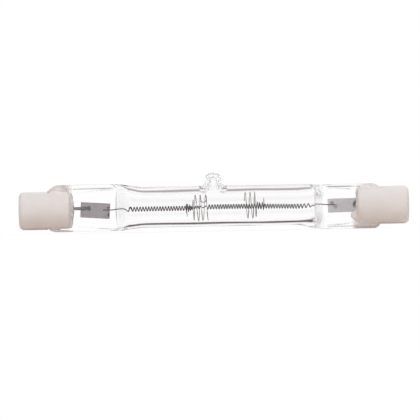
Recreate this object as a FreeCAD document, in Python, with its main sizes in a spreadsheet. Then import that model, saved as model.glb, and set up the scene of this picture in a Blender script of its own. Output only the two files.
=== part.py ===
import FreeCAD, Part
import math
import os
import re
import Sketcher

# A double-ended linear halogen bulb, lying along X with its exhaust tip up.
# Every piece is drawn about the line through both caps, then lifted so that the pinch seals stand on z = 0.

# Driving sizes, in millimetres, with leans in degrees
SIZES = {
    "overall_length": 78.3,
    # Ceramic caps and the contact recess in their outer ends
    "cap_diameter": 7.6,
    "cap_length": 10.3,
    "cap_edge_bevel": 0.9,
    "cap_rim_bevel": 0.4,
    "recess_diameter": 4.0,
    "recess_depth": 1.7,
    "recess_mouth": 0.25,
    "contact_lip": 0.35,
    "contact_thickness": 0.9,
    "contact_clearance": 0.05,
    # Quartz tube, a little above the line of the caps, squashed flat into a pinch seal at each end
    "tube_rise": 0.38,
    "tube_diameter": 8.2,
    "tube_wall": 0.9,
    "left_seal_length": 9.45,
    "right_seal_length": 7.45,
    "squash_length": 5.0,
    "seal_margin": 1.0,
    "crevice_height": 0.3,
    "left_seal_rise": 0.42,
    "right_seal_drop": 0.16,
    "left_pinch_width": 9.4,
    "right_pinch_width": 9.0,
    "pinch_thickness": 2.6,
    "pinch_corner_radius": 1.2,
    "pinch_insert": 4.6,
    # Exhaust tip, melted off on top of the tube
    "tip_diameter": 3.3,
    "tip_top_diameter": 2.7,
    "tip_height": 2.54,
    "tip_dome": 0.75,
    "tip_root_flare": 0.6,
    # Cement between the caps and the seals
    "cement_gap": 0.15,
    "cement_bed": 0.3,
    # Sealing foils and outer leads
    "foil_length": 5.9,
    "foil_width": 2.9,
    "foil_thickness": 0.05,
    "foil_setback": 1.5,
    "left_foil_lean": 4.0,
    "right_foil_lean": 1.0,
    "lead_diameter": 0.65,
    "lead_flat_depth": 0.12,
    "lead_overlap": 1.6,
    "lead_rise": 0.35,
    "lead_socket": 0.5,
    "weld_relief": 0.15,
    # Filament wire and its coil
    "filament_wire": 0.21,
    "coil_diameter": 1.1,
    "coil_pitch": 0.45,
    "leg_free_length": 2.0,
    "leg_overlap": 1.4,
    "leg_bend": 0.3,
    # Wire spirals that hold the coil off the glass
    "support_wire": 0.2,
    "support_clearance": 0.1,
    "grip_clearance": 0.03,
    "grip_pitch": 0.3,
    "loop_pitch": 0.85,
    "left_support_place": 5.6,
    "right_support_place": 10.1,
}

# Turns of each support: round the coil, widening, and against the bore
GRIP_TURNS = 4
WIDENING_TURNS = 0.75
LOOP_TURNS = 3

# Straight steps in one turn of a wound wire
COIL_STEPS = 6
SUPPORT_STEPS = 12

# The corner of a two-step bevel stands in from both sides by this share of it
BEVEL_SHARE = 1 - math.sqrt(0.5)

# The fins and the tip are rooted this share of the wall inside it
ROOT_SHARE = 0.25

# The filament's legs swing out to the coil within this part of a turn
EASE_TURNS = 0.25

# A cutter reaches this far past what it cuts
OVERCUT = 1.0

doc = FreeCAD.newDocument("linear_halogen_bulb")
sheet = doc.addObject("Spreadsheet::Sheet", "Sizes")
for row, (alias, size) in enumerate(SIZES.items(), start=1):
    sheet.set(f"A{row}", str(size))
    sheet.setAlias(f"A{row}", alias)
doc.recompute()

# Formulas shared by pieces that fit each other
AXIS_HEIGHT = "(right_pinch_width / 2 + right_seal_drop)"
HALF_LENGTH = "(overall_length / 2)"
CAP_RADIUS = "(cap_diameter / 2)"
CAP_INNER_END = f"({HALF_LENGTH} - cap_length)"
CAVITY_RADIUS = "(recess_diameter / 2 + contact_lip)"
CONTACT_FRONT = f"({HALF_LENGTH} - recess_depth)"
CONTACT_BACK = f"({CONTACT_FRONT} - contact_thickness)"
TUBE_RADIUS = "(tube_diameter / 2)"
BORE_RADIUS = f"({TUBE_RADIUS} - tube_wall)"
PINCH_END = f"({CAP_INNER_END} + pinch_insert)"
SLOT_HALF = "(pinch_thickness / 2 + cement_gap)"
FOIL_FRONT = "(-foil_thickness / 2)"
LEAD_RADIUS = "(lead_diameter / 2)"
LEAD_DEPTH = f"({FOIL_FRONT} - {LEAD_RADIUS} + lead_flat_depth)"

SIDES = {"left": -1, "right": 1}
SEAL_RISE = {"left": "left_seal_rise", "right": "(-right_seal_drop)"}


def linked(formula):
    """Return a formula in which every size points at its cell of the sheet."""
    names = "|".join(SIZES)
    return re.sub(rf"\b({names})\b", r"Sizes.\1", formula)


def number(formula):
    """Return what a formula comes to."""
    return float(sheet.evalExpression(linked(formula)))


def new_body(name, shift="0"):
    """Start a piece at the height of the caps' axis, or shifted up from it."""
    body = doc.addObject("PartDesign::Body", name)
    body.Label = name
    body.setExpression("Placement.Base.z", linked(f"{AXIS_HEIGHT} + {shift}"))
    return body


def new_sketch(body, name, plane, offset="0", across="0", up="0", lean="0"):
    """Add a sketch on one of the body's own planes, moved along its normal, and moved and turned in it."""
    sketch = body.newObject("Sketcher::SketchObject", name)
    support = next(item for item in body.Origin.OriginFeatures if item.Role == plane)
    sketch.AttachmentSupport = (support, [""])
    sketch.MapMode = "FlatFace"
    sketch.AttachmentOffset = FreeCAD.Placement(
        FreeCAD.Vector(number(across), number(up), number(offset)),
        FreeCAD.Rotation(FreeCAD.Vector(0, 0, 1), number(lean)),
    )
    sketch.setExpression("AttachmentOffset.Base.x", linked(across))
    sketch.setExpression("AttachmentOffset.Base.y", linked(up))
    sketch.setExpression("AttachmentOffset.Base.z", linked(offset))
    if lean != "0":
        sketch.setExpression("AttachmentOffset.Rotation.Angle", linked(lean))
    return sketch


def bind(sketch, constraint, formula):
    """Add a constraint whose value follows a formula."""
    index = sketch.addConstraint(constraint)
    sketch.setExpression(f"Constraints[{index}]", linked(formula))


def fix_point(sketch, edge, end, across, up):
    """Tie a point of the sketch to its two coordinates."""
    for kind, axis, formula in (("DistanceX", -2, across), ("DistanceY", -1, up)):
        if formula == "0":
            sketch.addConstraint(Sketcher.Constraint("PointOnObject", edge, end, axis))
        else:
            bind(sketch, Sketcher.Constraint(kind, -1, 1, edge, end, number(formula)), formula)


def draw_circle(sketch, radius, across="0", up="0"):
    """Draw a circle of a given radius about a given point."""
    centre = FreeCAD.Vector(number(across), number(up), 0)
    circle = Part.Circle(centre, FreeCAD.Vector(0, 0, 1), number(radius))
    edge = sketch.addGeometry(circle, False)
    fix_point(sketch, edge, 3, across, up)
    bind(sketch, Sketcher.Constraint("Radius", edge, number(radius)), radius)
    return sketch


def arc_between(start, end, radius, turn):
    """Return the short arc from start to end, and which of its ends is where it starts and stops."""
    chord = end - start
    side = FreeCAD.Vector(-chord.y, chord.x, 0).normalize() * turn
    reach = math.sqrt(max(radius**2 - (chord.Length / 2) ** 2, 0.0))
    centre = (start + end) * 0.5 + side * reach
    first, last = (start, end) if turn > 0 else (end, start)
    angles = [math.atan2(point.y - centre.y, point.x - centre.x) for point in (first, last)]
    arc = Part.ArcOfCircle(Part.Circle(centre, FreeCAD.Vector(0, 0, 1), radius), *angles)
    return arc, (1, 2) if turn > 0 else (2, 1)


def draw_outline(sketch, corners):
    """Draw a closed outline through (across, up) corners.

    A corner that ends an arc also has the arc's radius and its turn.
    The radius is None for half a circle between level ends.
    """
    points = [FreeCAD.Vector(number(corner[0]), number(corner[1]), 0) for corner in corners]
    edges = []
    for index, corner in enumerate(corners):
        start, end = points[index - 1], points[index]
        if len(corner) == 2:
            shape, ends = Part.LineSegment(start, end), (1, 2)
        else:
            radius = number(corner[2]) if corner[2] else (end - start).Length / 2
            shape, ends = arc_between(start, end, radius, corner[3])
        edges.append((sketch.addGeometry(shape, False), *ends))
    for index, corner in enumerate(corners):
        edge, first, last = edges[index]
        before, _, before_last = edges[index - 1]
        sketch.addConstraint(Sketcher.Constraint("Coincident", before, before_last, edge, first))
        fix_point(sketch, edge, last, corner[0], corner[1])
        if len(corner) == 4 and corner[2]:
            bind(sketch, Sketcher.Constraint("Radius", edge, number(corner[2])), corner[2])
        elif len(corner) == 4:
            bind(sketch, Sketcher.Constraint("DistanceY", -1, 1, edge, 3, number(corner[1])), corner[1])
    return sketch


def draw_rectangle(sketch, left, bottom, right, top):
    """Draw a rectangle between two corners."""
    return draw_outline(sketch, [(left, bottom), (right, bottom), (right, top), (left, top)])


def draw_flat_section(sketch, half_width, half_thickness):
    """Draw flat faces with fully rounded edges, standing on edge."""
    up = f"({half_width} - {half_thickness})"
    corners = [
        (half_thickness, up),
        (f"-{half_thickness}", up, None, 1),
        (f"-{half_thickness}", f"-{up}"),
        (half_thickness, f"-{up}", None, 1),
    ]
    return draw_outline(sketch, corners)


def extrude(body, kind, name, sketch, length, reverse=False, both_sides=False):
    """Pad or pocket a sketch along its normal, or against it, or half to each side."""
    item = body.newObject(f"PartDesign::{kind}", name)
    item.Profile = sketch
    item.setExpression("Length", linked(length))
    item.Reversed = reverse
    if both_sides:
        item.SideType = "Symmetric"
    return item


def extrude_along(body, kind, name, section, start, end, up="0"):
    """Pad or pocket a section of the lamp from one place to another along its axis."""
    sketch = section(new_sketch(body, f"{name}_section", "YZ_Plane", start, up=up))
    forward = number(end) > number(start)
    length = f"({end}) - ({start})" if forward else f"({start}) - ({end})"
    return extrude(body, kind, name, sketch, length, forward if kind == "Pocket" else not forward)


def revolve(body, name, sketch, axis):
    """Turn a sketch right round one of its own axes."""
    item = body.newObject("PartDesign::Revolution", name)
    item.Profile = sketch
    item.ReferenceAxis = (sketch, [axis])
    item.Angle = 360
    return item


def loft(body, name, first, last):
    """Join two sections with straight sides."""
    item = body.newObject("PartDesign::AdditiveLoft", name)
    item.Profile = first
    item.Sections = [last]
    item.Ruled = True
    return item


def on_side(side, formula):
    """Return a distance from the middle as a place along X on one side of the lamp."""
    return formula if SIDES[side] > 0 else f"-({formula})"


def bore_end(side):
    """Return how far from the middle the bore ends in the seal, which reaches from there to the cap."""
    return f"({CAP_INNER_END} - {side}_seal_length)"


def pinch_section(side):
    """Return what draws the section of one pinch seal."""
    return lambda sketch: draw_flat_section(sketch, f"({side}_pinch_width / 2)", "(pinch_thickness / 2)")


def squash_cuts(sketch, side, radius, half_thickness, flat_start):
    """Draw what squashing takes off both sides of the tube, seen from above, in two smooth bends."""
    start = f"({bore_end(side)} - squash_length)"
    length = f"({flat_start} - {start})"
    drop = f"({radius} - {half_thickness})"
    bend = f"(({length} * {length} + {drop} * {drop}) / (4 * {drop}))"
    places = (start, f"{start} + {length} / 2", flat_start, f"{flat_start} + {OVERCUT}")
    begin, middle, flat, beyond = (on_side(side, place) for place in places)
    for sign in (-1, 1):
        turn = SIDES[side] * sign
        low, clear = f"{sign} * {half_thickness}", f"{sign} * ({radius} + {OVERCUT})"
        corners = [
            (begin, clear),
            (begin, f"{sign} * {radius}"),
            (middle, f"{sign} * ({radius} + {half_thickness}) / 2", bend, -turn),
            (flat, low, bend, turn),
            (beyond, low),
            (beyond, clear),
        ]
        draw_outline(sketch, corners)
    return sketch


def add_squashed_tube(body, radius, half_thickness, margin):
    """Pad a round bar and squash both its ends flat: the outside of the glass, or its bore."""
    flat_start = {side: f"({bore_end(side)} + {margin})" for side in SIDES}
    start, end = (on_side(side, flat_start[side]) for side in SIDES)
    extrude_along(body, "Pad", "round_tube", lambda sketch: draw_circle(sketch, radius), start, end)
    for side in SIDES:
        sketch = new_sketch(body, f"{side}_squash_outline", "XY_Plane")
        squash_cuts(sketch, side, radius, half_thickness, flat_start[side])
        extrude(body, "Pocket", f"{side}_squash", sketch, f"4 * {radius}", both_sides=True)


def corner_cuts(sketch, side):
    """Draw what is taken off the two outer corners of a pinch seal."""
    inner = on_side(side, f"{PINCH_END} - pinch_corner_radius")
    end = on_side(side, PINCH_END)
    outer = on_side(side, f"{PINCH_END} + {OVERCUT}")
    for sign in (-1, 1):
        edge = f"{sign} * {side}_pinch_width / 2"
        arc_end = f"{sign} * ({side}_pinch_width / 2 - pinch_corner_radius)"
        beyond = f"{sign} * ({side}_pinch_width / 2 + {OVERCUT})"
        turn = -SIDES[side] * sign
        corners = [(inner, edge), (end, arc_end, "pinch_corner_radius", turn), (outer, arc_end)]
        draw_outline(sketch, corners + [(outer, beyond), (inner, beyond)])
    return sketch


def foil_outline(body, side, name, up="0"):
    """Draw the foil about its own middle, leaning as it was welded."""
    middle = on_side(side, f"{bore_end(side)} + foil_setback + foil_length / 2")
    lean = on_side(side, f"{side}_foil_lean")
    sketch = new_sketch(body, name, "XZ_Plane", across=middle, up=up, lean=lean)
    half_length, half_width = "foil_length / 2", "foil_width / 2"
    return draw_rectangle(sketch, f"-{half_length}", f"-{half_width}", half_length, half_width)


def lead_round(sketch):
    return draw_circle(sketch, LEAD_RADIUS, LEAD_DEPTH, "lead_rise")


def lead_flattened(sketch):
    """Draw the lead with the flat that is welded to the foil."""
    left_over = f"({LEAD_RADIUS} - lead_flat_depth)"
    half_flat = f"sqrt({LEAD_RADIUS} * {LEAD_RADIUS} - {left_over} * {left_over})"
    corners = [
        (FOIL_FRONT, f"lead_rise - {half_flat}", LEAD_RADIUS, 1),
        (FOIL_FRONT, f"lead_rise + {half_flat}"),
        (f"{LEAD_DEPTH} - {LEAD_RADIUS}", "lead_rise", LEAD_RADIUS, 1),
    ]
    return draw_outline(sketch, corners)


def leg_section(sketch):
    """Draw the filament's straight leg, lying on the front of the foil."""
    half = "filament_wire / 2"
    return draw_rectangle(sketch, f"{FOIL_FRONT} - filament_wire", f"-{half}", FOIL_FRONT, half)


def foil_outer_end(side):
    return f"({bore_end(side)} + foil_setback + foil_length)"


def make_envelope():
    """One piece of quartz: tube, two pinch seals and exhaust tip, less the bore and what the metal fills."""
    outside = new_body("glass_outside", "tube_rise")
    add_squashed_tube(outside, TUBE_RADIUS, "(pinch_thickness / 2)", "seal_margin")
    for side in SIDES:
        add_pinch_seal(outside, side)
    add_exhaust_tip(outside)
    for side in SIDES:
        cut_room_for_metal(outside, side)
    bore = new_body("bore", "tube_rise")
    add_squashed_tube(bore, BORE_RADIUS, "(crevice_height / 2)", "0")
    envelope = doc.addObject("Part::Cut", "quartz_envelope")
    envelope.Label = "quartz_envelope"
    envelope.Base, envelope.Tool = outside, bore
    return envelope


def add_pinch_seal(body, side):
    """The flat seal, with edges that rise out of the tube and rounded outer corners."""
    up = f"{SEAL_RISE[side]} - tube_rise"
    section = pinch_section(side)
    fin_start = on_side(side, f"{bore_end(side)} - squash_length")
    root = new_sketch(body, f"{side}_fin_root", "YZ_Plane", fin_start)
    draw_flat_section(root, f"({TUBE_RADIUS} - tube_wall * {ROOT_SHARE})", "(pinch_thickness / 2)")
    flat_start = on_side(side, f"{bore_end(side)} + seal_margin")
    full = section(new_sketch(body, f"{side}_fin_end", "YZ_Plane", flat_start, up=up))
    loft(body, f"{side}_fins", root, full)
    extrude_along(body, "Pad", f"{side}_pinch", section, flat_start, on_side(side, PINCH_END), up)
    corner_sketch = corner_cuts(new_sketch(body, f"{side}_corners", "XZ_Plane", up=up), side)
    extrude(body, "Pocket", f"{side}_corner_cut", corner_sketch, "2 * pinch_thickness", both_sides=True)


def add_exhaust_tip(body):
    """A melted nub with a flared root and a domed top, turned about Z."""
    foot = f"({BORE_RADIUS} + tube_wall * {ROOT_SHARE})"
    radius, top_radius = "(tip_diameter / 2)", "(tip_top_diameter / 2)"
    top = f"({TUBE_RADIUS} + tip_height)"
    dome_radius = f"(({top_radius} * {top_radius} + tip_dome * tip_dome) / (2 * tip_dome))"
    corners = [
        ("0", foot),
        (f"{radius} + tip_root_flare", foot),
        (f"{radius} + tip_root_flare", TUBE_RADIUS),
        (radius, f"{TUBE_RADIUS} + tip_root_flare"),
        (top_radius, f"{top} - tip_dome"),
        ("0", top, dome_radius, 1),
    ]
    sketch = draw_outline(new_sketch(body, "tip_profile", "XZ_Plane"), corners)
    revolve(body, "exhaust_tip", sketch, "V_Axis")


def cut_room_for_metal(body, side):
    """The glass closes on the foil, the outer lead and the leg of the filament without a gap."""
    up = "-tube_rise"
    foil_sketch = foil_outline(body, side, f"{side}_foil_room_outline", up)
    extrude(body, "Pocket", f"{side}_foil_room", foil_sketch, "foil_thickness", both_sides=True)
    flat_end = on_side(side, f"{foil_outer_end(side)} - lead_overlap")
    flat_start = on_side(side, f"{foil_outer_end(side)} + weld_relief")
    outside = on_side(side, f"{PINCH_END} + {OVERCUT}")
    extrude_along(body, "Pocket", f"{side}_lead_room", lead_round, outside, flat_start, up)
    extrude_along(body, "Pocket", f"{side}_weld_room", lead_flattened, flat_start, flat_end, up)
    leg_start = on_side(side, f"{bore_end(side)} + foil_setback + leg_overlap")
    leg_end = on_side(side, f"{bore_end(side)} - leg_free_length / 2")
    extrude_along(body, "Pocket", f"{side}_leg_room", leg_section, leg_start, leg_end, up)


def make_cap(side):
    """Turned ceramic cap: bevelled outside, recess, lip and cavity, with a slot for the pinch seal."""
    body = new_body(f"{side}_cap")
    bevel = f"cap_edge_bevel * {BEVEL_SHARE}"
    cavity, recess = CAVITY_RADIUS, "recess_diameter / 2"
    corners = [
        (on_side(side, HALF_LENGTH), f"{recess} + recess_mouth"),
        (on_side(side, HALF_LENGTH), f"{CAP_RADIUS} - cap_edge_bevel"),
        (on_side(side, f"{HALF_LENGTH} - {bevel}"), f"{CAP_RADIUS} - {bevel}"),
        (on_side(side, f"{HALF_LENGTH} - cap_edge_bevel"), CAP_RADIUS),
        (on_side(side, f"{CAP_INNER_END} + cap_rim_bevel"), CAP_RADIUS),
        (on_side(side, CAP_INNER_END), f"{CAP_RADIUS} - cap_rim_bevel"),
        (on_side(side, CAP_INNER_END), cavity),
        (on_side(side, CONTACT_FRONT), cavity),
        (on_side(side, CONTACT_FRONT), recess),
        (on_side(side, f"{HALF_LENGTH} - recess_mouth"), recess),
    ]
    revolve(body, "turned_cap", draw_outline(new_sketch(body, "cap_profile", "XZ_Plane"), corners), "H_Axis")
    tall = f"({CAP_RADIUS} + {OVERCUT})"
    extrude_along(
        body,
        "Pocket",
        "seal_slot",
        lambda sketch: draw_rectangle(sketch, f"-{SLOT_HALF}", f"-{tall}", SLOT_HALF, tall),
        on_side(side, f"{CAP_INNER_END} - {OVERCUT}"),
        on_side(side, f"{PINCH_END} + cement_bed"),
    )
    return body


def make_contact(side):
    """Metal button behind the lip of the recess, with a socket for the lead in its back."""
    body = new_body(f"{side}_contact")
    front, back = on_side(side, CONTACT_FRONT), on_side(side, CONTACT_BACK)
    radius = f"{CAVITY_RADIUS} - contact_clearance"
    extrude_along(body, "Pad", "button", lambda sketch: draw_circle(sketch, radius), front, back)
    socket_end = on_side(side, f"{CONTACT_BACK} + lead_socket")
    extrude_along(body, "Pocket", "socket", lead_round, back, socket_end)
    return body


def cement_in_slot(sketch):
    """Draw what the cement fills of the slot, flush with the outside of the cap."""
    height = f"sqrt({CAP_RADIUS} * {CAP_RADIUS} - {SLOT_HALF} * {SLOT_HALF})"
    corners = [
        (SLOT_HALF, f"-{height}", CAP_RADIUS, 1),
        (SLOT_HALF, height),
        (f"-{SLOT_HALF}", height, CAP_RADIUS, 1),
        (f"-{SLOT_HALF}", f"-{height}"),
    ]
    return draw_outline(sketch, corners)


def make_cement(side):
    """Cement from the back of the contact to the rim of the cap, round the seal and its lead."""
    body = new_body(f"{side}_cement")
    back = on_side(side, CONTACT_BACK)
    rim = on_side(side, f"{CAP_INNER_END} + cap_rim_bevel")
    slot_end = on_side(side, f"{PINCH_END} + cement_bed")
    pinch_end = on_side(side, PINCH_END)
    clear = on_side(side, f"{CAP_INNER_END} - {OVERCUT}")
    extrude_along(body, "Pad", "filled_cavity", lambda sketch: draw_circle(sketch, CAVITY_RADIUS), back, rim)
    extrude_along(body, "Pad", "filled_slot", cement_in_slot, slot_end, rim)
    extrude_along(body, "Pocket", "seal_room", pinch_section(side), clear, pinch_end, SEAL_RISE[side])
    extrude_along(body, "Pocket", "lead_room", lead_round, pinch_end, back)
    return body


def make_foil(side):
    """Thin sealing foil in the middle of the pinch seal."""
    body = new_body(f"{side}_foil")
    sketch = foil_outline(body, side, "foil_outline")
    extrude(body, "Pad", "foil", sketch, "foil_thickness", both_sides=True)
    return body


def make_outer_lead(side):
    """Stiff lead from the socket of the contact to its weld on the foil."""
    body = new_body(f"{side}_outer_lead")
    socket_end = on_side(side, f"{CONTACT_BACK} + lead_socket")
    flat_start = on_side(side, f"{foil_outer_end(side)} + weld_relief")
    flat_end = on_side(side, f"{foil_outer_end(side)} - lead_overlap")
    extrude_along(body, "Pad", "round_lead", lead_round, socket_end, flat_start)
    extrude_along(body, "Pad", "welded_end", lead_flattened, flat_start, flat_end)
    return body


def outward(angle):
    """Return the direction away from the lamp's axis, from the front and then downwards."""
    return FreeCAD.Vector(0, -math.cos(angle), -math.sin(angle))


def add_wire(name, stations, thickness):
    """Add a bent square wire through stations: a place, and the two directions its sides face there."""
    sections = []
    for place, out, aside in stations:
        out, aside = (direction.normalize() * (thickness / 2) for direction in (out, aside))
        sections.append([place + out + aside, place - out + aside, place - out - aside, place + out - aside])
    outlines = [sections[0], sections[-1][::-1]]
    for near, far in zip(sections, sections[1:]):
        for side in range(4):
            outlines.append([near[side - 1], near[side], far[side]])
            outlines.append([near[side - 1], far[side], far[side - 1]])
    faces = [Part.Face(Part.makePolygon(corners + corners[:1])) for corners in outlines]
    piece = doc.addObject("Part::Feature", name)
    piece.Label = name
    piece.Shape = Part.Solid(Part.Shell(faces))
    piece.Placement = FreeCAD.Placement(FreeCAD.Vector(0, 0, number(AXIS_HEIGHT)), FreeCAD.Rotation())
    return piece


def make_filament():
    """One wire: a leg from the left foil, the coil, and a leg to the right foil."""
    coil_radius = number("(coil_diameter - filament_wire) / 2")
    leg_depth = number(f"-{FOIL_FRONT} + filament_wire / 2")
    coil_start = number(f"leg_free_length - {bore_end('left')}")
    coil_end = number(f"{bore_end('right')} - leg_free_length")
    steps = COIL_STEPS * round((coil_end - coil_start) / number("coil_pitch"))
    back, down = FreeCAD.Vector(-1, 0, 0), FreeCAD.Vector(0, 0, -1)

    def leg(along, aside=down):
        return FreeCAD.Vector(along, 0, 0) + outward(0) * leg_depth, outward(0), aside

    def leg_tip(side):
        return leg(number(on_side(side, f"{bore_end(side)} + foil_setback + leg_overlap")))

    stations = [leg_tip("left"), leg(coil_start - number("leg_bend")), leg(coil_start, back + down)]
    for step in range(1, steps):
        out = outward(2 * math.pi * step / COIL_STEPS)
        eased = min(min(step, steps - step) / (EASE_TURNS * COIL_STEPS), 1.0)
        along = coil_start + (coil_end - coil_start) * step / steps
        radius = leg_depth + (coil_radius - leg_depth) * eased
        stations.append((FreeCAD.Vector(along, 0, 0) + out * radius, out, FreeCAD.Vector(back)))
    stations += [leg(coil_end, back - down), leg(coil_end + number("leg_bend"), -down), leg_tip("right")]
    return add_wire("filament", stations, number("filament_wire"))


def make_support(side):
    """One wire: tight turns round the coil that widen into loops against the bore."""
    wire = number("support_wire")
    flat_share = math.cos(math.pi / SUPPORT_STEPS)
    grip_radius = number("coil_diameter / 2 + grip_clearance") / flat_share + wire / 2
    loop_radius = number(f"{BORE_RADIUS} - tube_rise - support_clearance") - wire / 2
    grip_pitch, loop_pitch = number("grip_pitch"), number("loop_pitch")
    along = number(f"{side}_support_place")
    stations = []
    for step in range(round((GRIP_TURNS + WIDENING_TURNS + LOOP_TURNS) * SUPPORT_STEPS) + 1):
        turn = step / SUPPORT_STEPS
        widened = min(max((turn - GRIP_TURNS) / WIDENING_TURNS, 0.0), 1.0)
        out = outward(2 * math.pi * turn)
        radius = grip_radius + (loop_radius - grip_radius) * widened
        place = FreeCAD.Vector(SIDES[side] * along, 0, 0) + out * radius
        stations.append((place, out, FreeCAD.Vector(-1, 0, 0)))
        along -= (grip_pitch + (loop_pitch - grip_pitch) * widened) / SUPPORT_STEPS
    return add_wire(f"{side}_support", stations, wire)


pieces = [make_envelope(), make_filament()]
for side in SIDES:
    makers = (make_cap, make_contact, make_cement, make_foil, make_outer_lead, make_support)
    pieces.extend(make(side) for make in makers)

doc.recompute()
for item in doc.Objects:
    if "Invalid" in item.State or "Error" in item.State:
        raise RuntimeError(f"{item.Label} did not build: {item.State}")
for piece in pieces:
    if piece.Shape.isNull() or not piece.Shape.isValid():
        raise RuntimeError(f"{piece.Label} has no valid shape")
    print(f"{piece.Label}: {len(piece.Shape.Solids)} solid, {piece.Shape.Volume:.3f} mm3")

os.makedirs("parts", exist_ok=True)
for piece in pieces:
    piece.Shape.exportStep(f"parts/{piece.Label}.step")
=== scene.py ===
"""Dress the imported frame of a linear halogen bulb: clear quartz, ceramic caps and the wires inside."""

import math

import bmesh
import bpy
from bpy.props import FloatProperty, FloatVectorProperty, PointerProperty
from mathutils import Matrix, Vector, noise


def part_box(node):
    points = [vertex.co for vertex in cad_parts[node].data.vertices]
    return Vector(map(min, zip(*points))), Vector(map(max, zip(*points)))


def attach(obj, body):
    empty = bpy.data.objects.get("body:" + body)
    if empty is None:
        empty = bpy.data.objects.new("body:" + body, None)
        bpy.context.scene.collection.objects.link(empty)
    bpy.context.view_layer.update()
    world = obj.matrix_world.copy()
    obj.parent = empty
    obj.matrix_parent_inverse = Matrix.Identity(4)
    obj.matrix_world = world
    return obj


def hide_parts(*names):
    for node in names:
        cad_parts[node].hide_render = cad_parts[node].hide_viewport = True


bl_info = {
    "name": "Linear Halogen Bulb",
    "version": (1, 0, 0),
    "blender": (4, 5, 0),
    "location": "View3D > Sidebar > Bulb",
    "description": "Dresses the frame of a double-ended linear halogen bulb",
    "category": "Object",
}

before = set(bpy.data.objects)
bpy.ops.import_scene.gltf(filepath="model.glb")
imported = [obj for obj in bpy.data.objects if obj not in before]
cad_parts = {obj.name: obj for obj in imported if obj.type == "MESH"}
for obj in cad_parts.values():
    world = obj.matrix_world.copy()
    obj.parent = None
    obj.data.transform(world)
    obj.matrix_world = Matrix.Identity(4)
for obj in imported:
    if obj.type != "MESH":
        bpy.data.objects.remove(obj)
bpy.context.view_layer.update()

MM = 0.001


def mm(*values):
    """Return lengths given in millimetres in metres."""
    return tuple(value * MM for value in values)


SIDES = {"left": -1, "right": 1}
WHITE = (1.0, 1.0, 1.0)
# Between these places a finish goes from its left form to its right one
LEFT_TO_RIGHT = mm(-10.0, 10.0)

# Places read from the frame
CAP_LOW, CAP_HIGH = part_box("right_cap")
AXIS_HEIGHT = (CAP_LOW.z + CAP_HIGH.z) / 2
CAP_INNER_END = CAP_LOW.x
CAP_OUTER_END = CAP_HIGH.x
CAP_RADIUS = (CAP_HIGH.z - CAP_LOW.z) / 2
PINCH_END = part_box("quartz_envelope")[1].x
CONTACT_LOW, CONTACT_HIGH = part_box("right_contact")
CONTACT_RADIUS = (CONTACT_HIGH.z - CONTACT_LOW.z) / 2


# Settings


def length(millimetres, description):
    return FloatProperty(description=description, default=millimetres * MM, unit="LENGTH", precision=5)


def colour(default, thing):
    description = f"Colour of {thing}"
    return FloatVectorProperty(description=description, default=default, size=3, subtype="COLOR")


def amount(default, description):
    return FloatProperty(description=description, default=default)


def haze(share, place):
    return amount(share, f"How much light goes straight through {place}")


class QuartzSettings(bpy.types.PropertyGroup):
    """Sizes and clearness of the quartz envelope."""

    tube_radius: length(4.1, "Outside radius of the round tube")
    bore_radius: length(3.15, "Inside radius of the round tube")
    bore_drop: length(0.1, "How far the bore lies below the tube's middle")
    tube_rise: length(0.38, "How far the tube lies above the line of the caps")
    left_bore_end: length(19.4, "Where the bore closes on the left")
    right_bore_end: length(21.7, "Where the bore closes on the right")
    left_squash: length(3.0, "Length over which the tube goes flat on the left")
    right_squash: length(2.0, "Length over which the tube goes flat on the right")
    spread_length: length(5.5, "Length over which the tube grows to the width of a seal")
    left_plate_half: length(4.7, "Half the width of the left pinch seal")
    right_plate_half: length(4.5, "Half the width of the right pinch seal")
    left_plate_rise: length(0.42, "Height of the left seal above the line of the caps")
    right_plate_rise: length(-0.16, "Height of the right seal above the line of the caps")
    web_half: length(1.12, "Half the thickness of a seal between its rims")
    rim_half: length(1.3, "Half the thickness of a seal's rims")
    rim_width: length(0.5, "Width of the thicker rim along a seal's edges")
    corner_length: length(1.8, "Length of the rounding of a seal's outer corners")
    corner_drop: length(1.25, "Height of the rounding of a seal's outer corners")
    wobble: length(0.05, "How far the hand-blown walls wander")
    tint: colour((0.997, 0.992, 0.993), "the quartz")
    bend: amount(1.46, "How strongly the quartz bends light")
    tip_haze: haze(0.4, "the melt of the tip")
    foot_haze: haze(0.85, "the foot of the tip")
    coated_haze: haze(0.65, "the seals under their coats")
    squash_haze: haze(0.66, "the right squash's corners")
    middle_haze: haze(0.9, "between those corners")


class CeramicSettings(bpy.types.PropertyGroup):
    """Sizes and colours of the caps and the cement."""

    edge_radius: length(0.95, "Rounding of a cap's outer edge")
    left_rim_radius: length(0.8, "Rounding of the left cap's inner rim")
    right_rim_radius: length(0.5, "Rounding of the right cap's inner rim")
    recess_radius: length(2.0, "Radius of the recess for the contact pin")
    slot_half: length(1.45, "Half the width of the slot for the seal")
    left_bead_reach: length(0.8, "How far the cement creeps out along the left seal")
    right_bead_reach: length(0.5, "How far the cement creeps out along the right seal")
    pale: colour((0.84, 0.8, 0.795), "the ceramic")
    warm: colour((0.81, 0.76, 0.74), "its faint clouds")
    speck: colour((0.5, 0.42, 0.36), "its specks")
    cement: colour((0.87, 0.83, 0.81), "the cement")
    cement_patch: colour((0.82, 0.775, 0.755), "the cement's patches")
    cement_grit: colour((0.5, 0.45, 0.41), "the cement's grit")
    coat: colour((0.8, 0.76, 0.75), "the thin cement over the seals' ends")
    low_coat: colour((0.92, 0.91, 0.92), "that thin cement underneath")
    coat_grit: colour((0.55, 0.5, 0.46), "the grit in the thin cement")


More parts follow.
